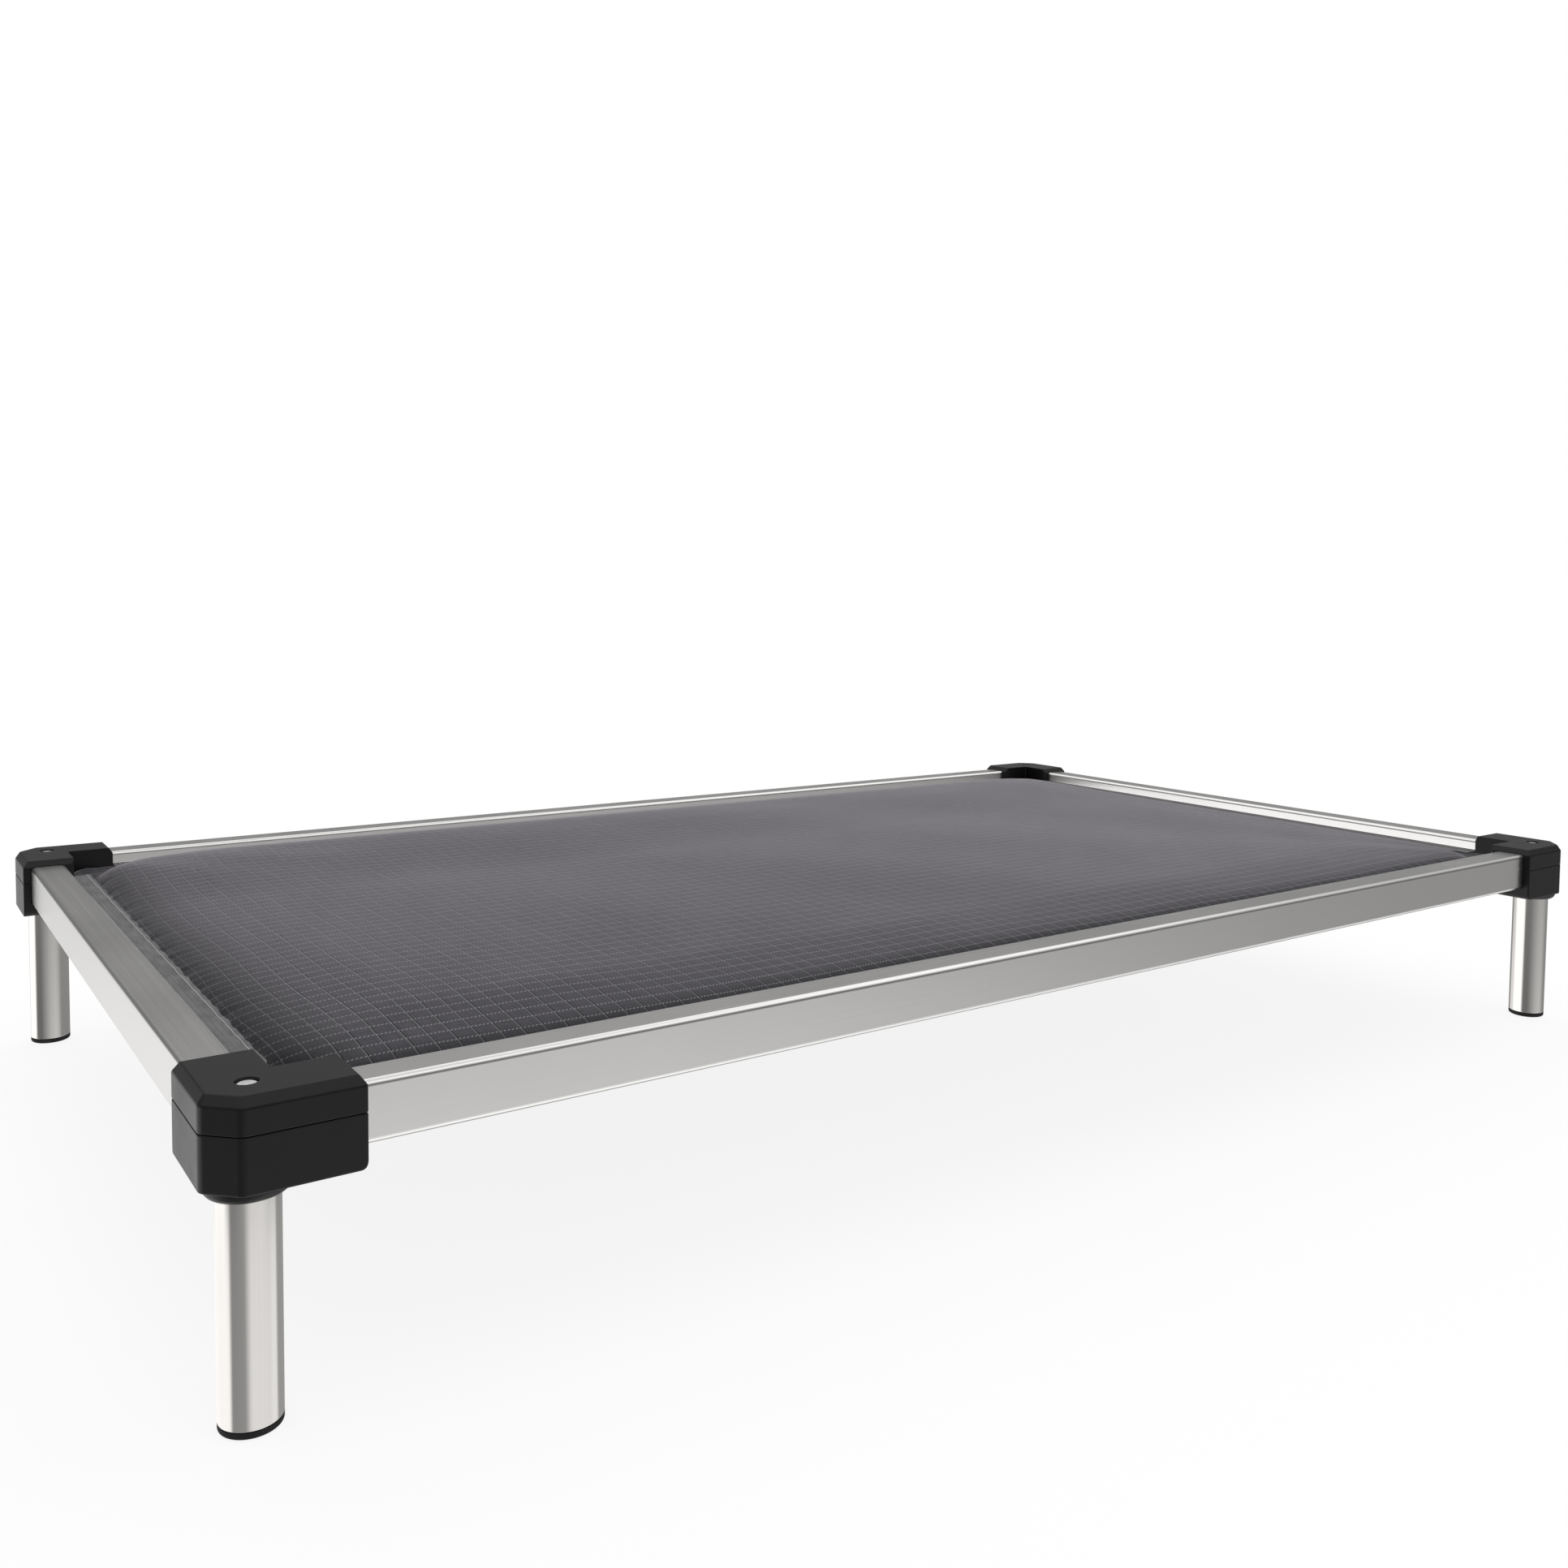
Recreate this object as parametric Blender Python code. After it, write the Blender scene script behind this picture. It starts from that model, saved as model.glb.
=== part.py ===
"""A raised pet bed: aluminium rails, plastic corners, tube legs and a stretched fabric panel.

Metres, +Z up. X runs along the long rails, Y along the short ones. The origin is on the floor, under the
middle of the bed. Each corner is modelled once, with its own origin on the floor under the point where the
outer faces of its two rails would meet, and with both rails running off along its +X and +Y.
"""

import math

import bmesh
import bpy

MM = 0.001

# Driving dimensions.
FRAME_LENGTH = 1068 * MM
FRAME_WIDTH = 642 * MM
RAIL_WIDTH = 22.8 * MM
RAIL_HEIGHT = 28.2 * MM
RAIL_TOP = 142.7 * MM
CORNER_TOP = 147 * MM
CORNER_BOTTOM = 106 * MM
CORNER_SPLIT = 130.6 * MM
CORNER_ARM = 60 * MM
LEG_RADIUS = 13.35 * MM
LEG_INSET = 15.9 * MM
FOOT_HEIGHT = 3.5 * MM
SEAM_HEIGHT = 132 * MM
FABRIC_RISE = 7 * MM

# Clearances, how far a cutter runs past what it cuts, and how finely round shapes are divided.
GAP = 0.3 * MM
END_GAP = 0.5 * MM
CUT_PAST = 5 * MM
ROUND_STEPS = 24
HOLE_STEPS = 12
SCREW_STEPS = 8
FILLET_STEPS = 4

# Rails: hollow extrusions with a round channel in the inner side that holds the fabric's edge.
RAIL_WALL = 1.5 * MM
RAIL_FILLET = 3 * MM
RAIL_START = 36 * MM
CHANNEL_RADIUS = 3.6 * MM
CHANNEL_DEPTH = 5.2 * MM
SLOT_HEIGHT = 3 * MM
RAIL_BOTTOM = RAIL_TOP - RAIL_HEIGHT

# Corners: a cap on a base, round a cast bracket with a spigot for each rail.
CORNER_PROUD = 5 * MM
CORNER_INNER = 28.6 * MM
CORNER_CHAMFER = 14 * MM
CORNER_EDGE = 6 * MM
CORNER_WALL = 3 * MM
CAP_SLOPE_IN = 3.2 * MM
CAP_SLOPE_DOWN = 4.6 * MM
ARM_END_EDGE = 4 * MM
COLLAR_RADIUS = 18.5 * MM
COLLAR_FOOT_RADIUS = 14.8 * MM
COLLAR_BOTTOM = 101 * MM
COLLAR_ROOT = 1 * MM
SOCKET_TOP = 110.5 * MM
BRACKET_TOP = 138 * MM
SPIGOT_END = 75 * MM
SPIGOT_WIDTH = 10.4 * MM
HUB_CLEARANCE = 1 * MM

# Fasteners.
BOLT_RADIUS = 3 * MM
BOLT_HEAD_RADIUS = 4.7 * MM
BOLT_HEAD_TOP = 146.2 * MM
BOLT_HEAD_HEIGHT = 3.4 * MM
BOLT_END = 92 * MM
RECESS_RADIUS = 5 * MM
WASHER_THICKNESS = 0.6 * MM
SCREW_RADIUS = 1.7 * MM
SCREW_HEAD_RADIUS = 3.2 * MM
SCREW_HEAD_HEIGHT = 2 * MM
SCREW_END = 126 * MM
SCREW_REACH = 50 * MM
SCREW_TIP = 2 * MM
HEAD_EDGE = 0.6 * MM

# Legs.
LEG_WALL = 1.5 * MM
FOOT_EDGE = 1.5 * MM
FOOT_PLUG_TOP = 15 * MM
INSERT_BOTTOM = 88 * MM

# Fabric, its folded edge tape and the rod inside the tape.
FABRIC_THICKNESS = 0.7 * MM
TAPE_THICKNESS = 0.5 * MM
TAPE_WIDTH = 16.5 * MM
HEM_WIDTH = 17.5 * MM
FABRIC_CORNER_GAP = 2 * MM
LEAST_CORNER_CUT = 1 * MM
ROD_RADIUS = 2.5 * MM
FABRIC_SLOPE = 55 * MM

# Worked out from the dimensions above.
HALF_LENGTH = FRAME_LENGTH / 2
HALF_WIDTH = FRAME_WIDTH / 2
SCREW_ACROSS = RAIL_WALL + GAP + SPIGOT_WIDTH / 2
BRACKET_BOTTOM = RAIL_BOTTOM + RAIL_WALL + GAP
BOLT_HOLE_RADIUS = BOLT_RADIUS + GAP
CORNERS = (
    ("front_left", -HALF_LENGTH, -HALF_WIDTH, 0),
    ("front_right", HALF_LENGTH, -HALF_WIDTH, 90),
    ("back_right", HALF_LENGTH, HALF_WIDTH, 180),
    ("back_left", -HALF_LENGTH, HALF_WIDTH, 270),
)
SIDES = (
    ("long_rail", "front", 0, -HALF_WIDTH, 0, HALF_LENGTH),
    ("long_rail", "back", 0, HALF_WIDTH, 180, HALF_LENGTH),
    ("short_rail", "left", -HALF_LENGTH, 0, 270, HALF_WIDTH),
    ("short_rail", "right", HALF_LENGTH, 0, 90, HALF_WIDTH),
)


def clear_scene():
    for obj in list(bpy.data.objects):
        bpy.data.objects.remove(obj)


def material(name, colour, roughness, metallic):
    """A Principled material with one colour."""
    made = bpy.data.materials.new(name)
    made.use_nodes = True
    shader = made.node_tree.nodes["Principled BSDF"]
    shader.inputs["Base Color"].default_value = (*colour, 1)
    shader.inputs["Roughness"].default_value = roughness
    shader.inputs["Metallic"].default_value = metallic
    return made


def place(name, mesh, finish, x=0.0, y=0.0, turn=0.0):
    """Puts a mesh in the scene as a named object, turned by some degrees about Z, in its own material."""
    mesh = mesh.copy()
    mesh.name = name
    mesh.materials.clear()
    mesh.materials.append(material(name, *finish))
    mesh.shade_smooth()
    mesh.set_sharp_from_angle(angle=math.radians(35))
    obj = bpy.data.objects.new(name, mesh)
    obj.location = (x, y, 0)
    obj.rotation_euler = (0, 0, math.radians(turn))
    bpy.context.scene.collection.objects.link(obj)


def to_mesh(bm):
    bmesh.ops.recalc_face_normals(bm, faces=bm.faces)
    if bm.calc_volume(signed=True) < 0:
        bmesh.ops.reverse_faces(bm, faces=bm.faces)
    mesh = bpy.data.meshes.new("shape")
    bm.to_mesh(mesh)
    bm.free()
    return mesh


def prism_bm(outline, low, high):
    """An outline in X and Y, extruded from one height to another."""
    bm = bmesh.new()
    face = bm.faces.new([bm.verts.new((x, y, low)) for x, y in outline])
    extruded = bmesh.ops.extrude_face_region(bm, geom=[face])["geom"]
    top = [item for item in extruded if isinstance(item, bmesh.types.BMVert)]
    bmesh.ops.translate(bm, verts=top, vec=(0, 0, high - low))
    return bm


def prism(outline, low, high):
    return to_mesh(prism_bm(outline, low, high))


def length_prism(section, low, high):
    """A section in Y and Z, extruded along X."""
    bm = prism_bm(section, low, high)
    for vert in bm.verts:
        vert.co = (vert.co.z, vert.co.x, vert.co.y)
    return to_mesh(bm)


def rectangle(x0, y0, x1, y1):
    return [(x0, y0), (x1, y0), (x1, y1), (x0, y1)]


def arc(x, y, radius, start, end, steps):
    """Points on a circle from one angle to another, in degrees."""
    points = []
    for step in range(steps + 1):
        angle = math.radians(start + (end - start) * step / steps)
        points.append((x + radius * math.cos(angle), y + radius * math.sin(angle)))
    return points


def circle(x, y, radius, steps):
    return arc(x, y, radius, 0, 360, steps)[:-1]


def rounded_rectangle(x0, y0, x1, y1, radius, steps):
    points = arc(x0 + radius, y0 + radius, radius, 180, 270, steps)
    points += arc(x1 - radius, y0 + radius, radius, 270, 360, steps)
    points += arc(x1 - radius, y1 - radius, radius, 0, 90, steps)
    points += arc(x0 + radius, y1 - radius, radius, 90, 180, steps)
    return points


def turned(profile, steps, x=0.0, y=0.0):
    """A profile of (radius, height) points turned about a vertical axis.

    A profile that starts and ends at a radius above 0 is closed on itself. One that starts and ends at 0 is
    solid, with one flat face where its end is level with the next point, and a point where it isn't.
    """
    bm = bmesh.new()
    rings = []
    for radius, height in profile:
        places = circle(x, y, radius, steps) if radius else [(x, y)]
        rings.append([bm.verts.new((px, py, height)) for px, py in places])
    if profile[0][0]:
        rings.append(rings[0])
    for lower, upper in zip(rings, rings[1:]):
        single, ring = sorted((lower, upper), key=len)
        if len(single) == 1 and single[0].co.z == ring[0].co.z:
            bm.faces.new(ring)
            bm.verts.remove(single[0])
            continue
        for step in range(steps):
            after = (step + 1) % steps
            corners = [lower[step % len(lower)], lower[after % len(lower)]]
            corners += [upper[after % len(upper)], upper[step % len(upper)]]
            bm.faces.new(list(dict.fromkeys(corners)))
    return to_mesh(bm)


def combined(body, joined=(), cut=()):
    """Joins some closed meshes to a body, cuts others from it, and returns the result as one mesh."""
    collection = bpy.context.scene.collection
    work = bpy.data.objects.new("work", body)
    collection.objects.link(work)
    tools = []
    for operation, meshes in (("UNION", joined), ("DIFFERENCE", cut)):
        for mesh in meshes:
            tool = bpy.data.objects.new("tool", mesh)
            collection.objects.link(tool)
            tools.append(tool)
            step = work.modifiers.new(operation, "BOOLEAN")
            step.operation = operation
            step.object = tool
    bpy.context.view_layer.update()
    graph = bpy.context.evaluated_depsgraph_get()
    result = bpy.data.meshes.new_from_object(work.evaluated_get(graph))
    for obj in [*tools, work]:
        bpy.data.objects.remove(obj)
    return result


def corner_outline(proud, inner, chamfer, end):
    """The plan of an L: two arms along +X and +Y, with the outer corner cut off."""
    return [
        (chamfer - proud, -proud),
        (end, -proud),
        (end, inner),
        (inner, inner),
        (inner, end),
        (-proud, end),
        (-proud, chamfer - proud),
    ]


def shell_outline(inset=0.0):
    """The corner's plan, with the two edges of its cut-off outer corner rounded, drawn in by an inset."""
    sharp = corner_outline(
        CORNER_PROUD - inset,
        CORNER_INNER,
        CORNER_CHAMFER - inset * (2 - math.sqrt(2)),
        CORNER_ARM - inset,
    )
    radius = CORNER_EDGE - inset
    back = radius * math.tan(math.radians(22.5))
    near_x, near_y = sharp[0]
    first = arc(near_x + back, near_y + radius, radius, 225, 270, FILLET_STEPS)
    last = [(y, x) for x, y in reversed(first)]
    return first + sharp[1:-1] + last


def channel_sections(low, high):
    """The two straight channels for the rails, open at the arms' ends."""
    side = RAIL_WIDTH + GAP
    start = RAIL_START - GAP
    end = CORNER_ARM + CUT_PAST
    return [
        prism(rectangle(start, -GAP, end, side), low, high),
        prism(rectangle(-GAP, start, side, end), low, high),
    ]


def core_section(low, high):
    """The space round the bracket's hub, which the outer corner's wall follows."""
    wall_chamfer = CORNER_CHAMFER - CORNER_PROUD + CORNER_WALL
    return prism(corner_outline(GAP, RAIL_WIDTH + GAP, wall_chamfer, RAIL_START), low, high)


def stepped_hole(wide, narrow, low, step, steps, x=LEG_INSET, y=LEG_INSET):
    """A cutter from below: wide up to the step, and narrow from there through everything above."""
    above = CORNER_TOP + CUT_PAST
    profile = [(0, low), (wide, low), (wide, step), (narrow, step), (narrow, above), (0, above)]
    return turned(profile, steps, x, y)


def screw_places():
    return [(SCREW_REACH, SCREW_ACROSS), (SCREW_ACROSS, SCREW_REACH)]


def corner_base():
    """The lower shell: open on top, with a web across its inner corner and a collar for the leg."""
    outline = [point for point in shell_outline() if point != (CORNER_INNER, CORNER_INNER)]
    top = CORNER_SPLIT - GAP / 2
    bm = prism_bm(outline, CORNER_BOTTOM, top)
    below_arm_ends = [
        edge
        for edge in bm.edges
        if all(vert.co.z < CORNER_BOTTOM + MM for vert in edge.verts)
        and any(min(vert.co[axis] for vert in edge.verts) > CORNER_ARM - MM for axis in (0, 1))
    ]
    rounding = {"offset": ARM_END_EDGE, "offset_type": "OFFSET", "segments": FILLET_STEPS, "profile": 0.5}
    bmesh.ops.bevel(bm, geom=below_arm_ends, affect="EDGES", **rounding)
    body = to_mesh(bm)
    depth = CORNER_BOTTOM - COLLAR_BOTTOM
    spread = COLLAR_RADIUS - COLLAR_FOOT_RADIUS
    bowl = [
        (COLLAR_FOOT_RADIUS + spread * x, COLLAR_BOTTOM + depth * (1 + z))
        for x, z in arc(0, 0, 1, 270, 360, FILLET_STEPS)
    ]
    collar = turned(
        [
            (0, COLLAR_BOTTOM),
            *bowl,
            (COLLAR_RADIUS, CORNER_BOTTOM + COLLAR_ROOT),
            (0, CORNER_BOTTOM + COLLAR_ROOT),
        ],
        ROUND_STEPS,
        LEG_INSET,
        LEG_INSET,
    )
    above = CORNER_TOP
    cutters = [core_section(BRACKET_BOTTOM - GAP, above)]
    cutters += channel_sections(RAIL_BOTTOM - GAP, above)
    below = COLLAR_BOTTOM - CUT_PAST
    cutters.append(stepped_hole(LEG_RADIUS + GAP, BOLT_HOLE_RADIUS, below, SOCKET_TOP, ROUND_STEPS))
    for x, y in screw_places():
        head_top = CORNER_BOTTOM + SCREW_HEAD_HEIGHT + 2 * GAP
        wide = SCREW_HEAD_RADIUS + GAP
        cutters.append(stepped_hole(wide, SCREW_RADIUS + GAP, below, head_top, HOLE_STEPS, x, y))
    return combined(body, [collar], cutters)


def corner_cap():
    """The upper shell: open underneath, with a recess for the leg bolt's head."""
    bm = bmesh.new()
    levels = (
        (0, CORNER_SPLIT + GAP / 2),
        (0, CORNER_TOP - CAP_SLOPE_DOWN),
        (CAP_SLOPE_IN, CORNER_TOP),
    )
    loops = [[bm.verts.new((x, y, z)) for x, y in shell_outline(inset)] for inset, z in levels]
    for lower, upper in zip(loops, loops[1:]):
        for index in range(len(lower)):
            after = (index + 1) % len(lower)
            bm.faces.new((lower[index], lower[after], upper[after], upper[index]))
    bm.faces.new(loops[0])
    bm.faces.new(loops[-1])
    below = COLLAR_BOTTOM
    cutters = [core_section(below, BRACKET_TOP + GAP)]
    cutters += channel_sections(below, RAIL_TOP + GAP)
    head_bottom = BOLT_HEAD_TOP - BOLT_HEAD_HEIGHT
    ledge = head_bottom - WASHER_THICKNESS - 2 * GAP
    cutters.append(turned(
        [
            (0, below),
            (BOLT_HOLE_RADIUS, below),
            (BOLT_HOLE_RADIUS, ledge),
            (RECESS_RADIUS, ledge),
            (RECESS_RADIUS, CORNER_TOP + CUT_PAST),
            (0, CORNER_TOP + CUT_PAST),
        ],
        ROUND_STEPS,
        LEG_INSET,
        LEG_INSET,
    ))
    return combined(to_mesh(bm), [], cutters)


def corner_bracket():
    """The cast bracket: a hub over the leg and a spigot inside the end of each rail."""
    hub = RAIL_START - GAP
    near = RAIL_WALL + GAP
    far = near + SPIGOT_WIDTH
    cut = CORNER_CHAMFER - CORNER_PROUD + CORNER_WALL + HUB_CLEARANCE
    arm = [(cut, 0), (hub, 0), (hub, near), (SPIGOT_END, near), (SPIGOT_END, far), (hub, far)]
    arm.append((hub, RAIL_WIDTH))
    outline = arm + [(RAIL_WIDTH, RAIL_WIDTH)] + [(y, x) for x, y in reversed(arm)]
    body = prism(outline, BRACKET_BOTTOM, BRACKET_TOP)
    below = BRACKET_BOTTOM - CUT_PAST
    above = BRACKET_TOP + CUT_PAST
    cutters = [prism(circle(LEG_INSET, LEG_INSET, BOLT_HOLE_RADIUS, HOLE_STEPS), below, above)]
    for x, y in screw_places():
        cutters.append(prism(circle(x, y, SCREW_RADIUS + GAP, HOLE_STEPS), below, SCREW_END + GAP))
    return combined(body, [], cutters)


def rail(half_frame):
    """A hollow extrusion along X, its outer face at Y = 0, with the fabric's channel in the inner one."""
    half = half_frame - RAIL_START
    past = half + CUT_PAST
    section = rounded_rectangle(0, RAIL_BOTTOM, RAIL_WIDTH, RAIL_TOP, RAIL_FILLET, FILLET_STEPS)
    centre = RAIL_WIDTH - CHANNEL_DEPTH
    mouth = math.degrees(math.asin(SLOT_HEIGHT / 2 / CHANNEL_RADIUS))
    keyhole = arc(centre, SEAM_HEIGHT, CHANNEL_RADIUS, mouth, 360 - mouth, 12)
    keyhole.append((RAIL_WIDTH + CUT_PAST, SEAM_HEIGHT - SLOT_HEIGHT / 2))
    keyhole.append((RAIL_WIDTH + CUT_PAST, SEAM_HEIGHT + SLOT_HEIGHT / 2))
    wall_radius = CHANNEL_RADIUS + RAIL_WALL
    inside = RAIL_WIDTH - RAIL_WALL
    meet = math.degrees(math.acos((inside - centre) / wall_radius))
    hollow = [(RAIL_WALL, RAIL_TOP - RAIL_WALL), (RAIL_WALL, RAIL_BOTTOM + RAIL_WALL)]
    hollow.append((inside, RAIL_BOTTOM + RAIL_WALL))
    hollow += arc(centre, SEAM_HEIGHT, wall_radius, 360 - meet, meet, 8)
    hollow.append((inside, RAIL_TOP - RAIL_WALL))
    cutters = [length_prism(keyhole, -past, past), length_prism(hollow, -past, past)]
    for side in (-1, 1):
        spot = circle(side * (half_frame - SCREW_REACH), SCREW_ACROSS, SCREW_RADIUS + GAP, HOLE_STEPS)
        cutters.append(prism(spot, RAIL_BOTTOM - CUT_PAST, RAIL_BOTTOM + CUT_PAST))
    return combined(length_prism(section, -half, half), [], cutters)


def leg_tube():
    inner = LEG_RADIUS - LEG_WALL
    top = SOCKET_TOP - GAP
    profile = [(inner, FOOT_HEIGHT), (LEG_RADIUS, FOOT_HEIGHT), (LEG_RADIUS, top), (inner, top)]
    return turned(profile, ROUND_STEPS, LEG_INSET, LEG_INSET)


def leg_insert():
    """The threaded plug pressed into the top of the tube."""
    outer = LEG_RADIUS - LEG_WALL - GAP
    top = SOCKET_TOP - GAP
    profile = [(BOLT_HOLE_RADIUS, INSERT_BOTTOM), (outer, INSERT_BOTTOM)]
    profile += [(outer, top), (BOLT_HOLE_RADIUS, top)]
    return turned(profile, ROUND_STEPS, LEG_INSET, LEG_INSET)


def foot():
    """The rubber foot: a disc as wide as the tube, with a plug inside it."""
    plug = LEG_RADIUS - LEG_WALL - GAP
    profile = [(0, 0)]
    profile += arc(LEG_RADIUS - FOOT_EDGE, FOOT_EDGE, FOOT_EDGE, 270, 360, 2)
    profile += [(LEG_RADIUS, FOOT_HEIGHT - GAP), (plug, FOOT_HEIGHT - GAP), (plug, FOOT_PLUG_TOP)]
    profile.append((0, FOOT_PLUG_TOP))
    return turned(profile, ROUND_STEPS, LEG_INSET, LEG_INSET)


def leg_bolt():
    head_bottom = BOLT_HEAD_TOP - BOLT_HEAD_HEIGHT
    profile = [(0, BOLT_END), (BOLT_RADIUS, BOLT_END), (BOLT_RADIUS, head_bottom)]
    profile += [(BOLT_HEAD_RADIUS, head_bottom), (BOLT_HEAD_RADIUS, BOLT_HEAD_TOP - HEAD_EDGE)]
    profile += [(BOLT_HEAD_RADIUS - HEAD_EDGE, BOLT_HEAD_TOP), (0, BOLT_HEAD_TOP)]
    return turned(profile, HOLE_STEPS, LEG_INSET, LEG_INSET)


def bolt_washer():
    top = BOLT_HEAD_TOP - BOLT_HEAD_HEIGHT - GAP
    low = top - WASHER_THICKNESS
    outer = RECESS_RADIUS - GAP
    profile = [(BOLT_HOLE_RADIUS, low), (outer, low), (outer, top), (BOLT_HOLE_RADIUS, top)]
    return turned(profile, HOLE_STEPS, LEG_INSET, LEG_INSET)


def rail_screw(x, y):
    """A screw from underneath, through the base and the rail into the bracket's spigot."""
    low = CORNER_BOTTOM + GAP
    head_top = low + SCREW_HEAD_HEIGHT
    profile = [(0, low), (SCREW_HEAD_RADIUS - HEAD_EDGE, low), (SCREW_HEAD_RADIUS, low + HEAD_EDGE)]
    profile += [(SCREW_HEAD_RADIUS, head_top), (SCREW_RADIUS, head_top)]
    profile.append((SCREW_RADIUS, SCREW_END - SCREW_TIP))
    profile.append((0, SCREW_END))
    return turned(profile, SCREW_STEPS, x, y)


def fabric_outline(inset):
    """The panel's plan at a distance inside the rails' inner faces, with the corners cut off."""
    x = HALF_LENGTH - RAIL_WIDTH - inset
    y = HALF_WIDTH - RAIL_WIDTH - inset
    reach = CORNER_ARM + CORNER_INNER + FABRIC_CORNER_GAP - 2 * RAIL_WIDTH
    cut = max(reach - 2 * inset + inset * math.sqrt(2), LEAST_CORNER_CUT)
    points = []
    for sx, sy, along_x_first in ((1, -1, True), (1, 1, False), (-1, 1, True), (-1, -1, False)):
        pair = [(sx * (x - cut), sy * y), (sx * x, sy * (y - cut))]
        points += pair if along_x_first else reversed(pair)
    return points


def sleeping_fabric():
    """A stretched panel: a flat hem, a soft slope and a flat middle."""
    hem = SEAM_HEIGHT
    flat = hem + FABRIC_RISE
    rings = (
        (END_GAP, hem),
        (HEM_WIDTH, hem),
        (HEM_WIDTH + FABRIC_SLOPE / 3, hem + FABRIC_RISE * 0.6),
        (HEM_WIDTH + FABRIC_SLOPE, flat),
    )
    bm = bmesh.new()
    layers = []
    for offset in (-FABRIC_THICKNESS / 2, FABRIC_THICKNESS / 2):
        loops = [[bm.verts.new((x, y, z + offset)) for x, y in fabric_outline(inset)] for inset, z in rings]
        for outer, inner in zip(loops, loops[1:]):
            for index in range(len(outer)):
                after = (index + 1) % len(outer)
                bm.faces.new((outer[index], outer[after], inner[after], inner[index]))
        bm.faces.new(loops[-1])
        layers.append(loops[0])
    lower, upper = layers
    for index in range(len(lower)):
        after = (index + 1) % len(lower)
        bm.faces.new((lower[index], lower[after], upper[after], upper[index]))
    return to_mesh(bm)


def edge_tape(half_frame):
    """A tape folded round the rod in the rail's channel, with a ply above and a ply below the fabric."""
    half = half_frame - CORNER_ARM - END_GAP
    centre = RAIL_WIDTH - CHANNEL_DEPTH
    end = RAIL_WIDTH + TAPE_WIDTH
    inner_height = FABRIC_THICKNESS / 2 + GAP
    outer_height = inner_height + TAPE_THICKNESS
    inner_radius = ROD_RADIUS + GAP
    outer_radius = inner_radius + TAPE_THICKNESS
    outside = math.degrees(math.asin(outer_height / outer_radius))
    inside = math.degrees(math.asin(inner_height / inner_radius))
    section = [(end, SEAM_HEIGHT + outer_height)]
    section += arc(centre, SEAM_HEIGHT, outer_radius, outside, 360 - outside, 12)
    section += [(end, SEAM_HEIGHT - outer_height), (end, SEAM_HEIGHT - inner_height)]
    section += arc(centre, SEAM_HEIGHT, inner_radius, 360 - inside, inside, 12)
    section.append((end, SEAM_HEIGHT + inner_height))
    return length_prism(section, -half, half)


def keder_rod(half_frame):
    half = half_frame - CORNER_ARM
    section = circle(RAIL_WIDTH - CHANNEL_DEPTH, SEAM_HEIGHT, ROD_RADIUS, 12)
    return length_prism(section, -half, half)


ALUMINIUM = ((0.60, 0.59, 0.58), 0.32, 1.0)
BLACK_PLASTIC = ((0.022, 0.022, 0.023), 0.48, 0.0)
CAST_METAL = ((0.42, 0.42, 0.43), 0.50, 1.0)
STEEL = ((0.72, 0.72, 0.72), 0.25, 1.0)
RUBBER = ((0.016, 0.016, 0.016), 0.75, 0.0)
FABRIC = ((0.085, 0.082, 0.095), 0.85, 0.0)
TAPE = ((0.14, 0.14, 0.15), 0.85, 0.0)
ROD_PLASTIC = ((0.60, 0.60, 0.58), 0.50, 0.0)


def main():
    clear_scene()
    for rail_name, side, x, y, turn, half_frame in SIDES:
        place(f"{rail_name}_{side}", rail(half_frame), ALUMINIUM, x, y, turn)
        place(f"edge_tape_{side}", edge_tape(half_frame), TAPE, x, y, turn)
        place(f"keder_rod_{side}", keder_rod(half_frame), ROD_PLASTIC, x, y, turn)
    corner_pieces = (
        ("corner_base", corner_base(), BLACK_PLASTIC),
        ("corner_cap", corner_cap(), BLACK_PLASTIC),
        ("corner_bracket", corner_bracket(), CAST_METAL),
        ("leg_tube", leg_tube(), ALUMINIUM),
        ("leg_insert", leg_insert(), STEEL),
        ("leg_bolt", leg_bolt(), STEEL),
        ("bolt_washer", bolt_washer(), STEEL),
        ("foot", foot(), RUBBER),
    )
    for corner_name, x, y, turn in CORNERS:
        for piece, mesh, finish in corner_pieces:
            place(f"{piece}_{corner_name}", mesh, finish, x, y, turn)
        rails = ("long", "short") if turn in (0, 180) else ("short", "long")
        for rail_name, spot in zip(rails, screw_places()):
            place(f"{rail_name}_rail_screw_{corner_name}", rail_screw(*spot), STEEL, x, y, turn)
    place("sleeping_fabric", sleeping_fabric(), FABRIC)


main()
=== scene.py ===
"""The looks of the raised pet bed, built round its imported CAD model. Metres, +Z up.

Each corner is made once, in a frame of its own: the origin is on the floor under the point where the outer
faces of its two rails would meet, and both rails run off along its +X and +Y. Each side is made in a frame
with X along the rail and Y inward from the rail's outer face.
"""

import math

import bmesh
import bpy
import numpy as np
from mathutils import Matrix, Vector


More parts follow.
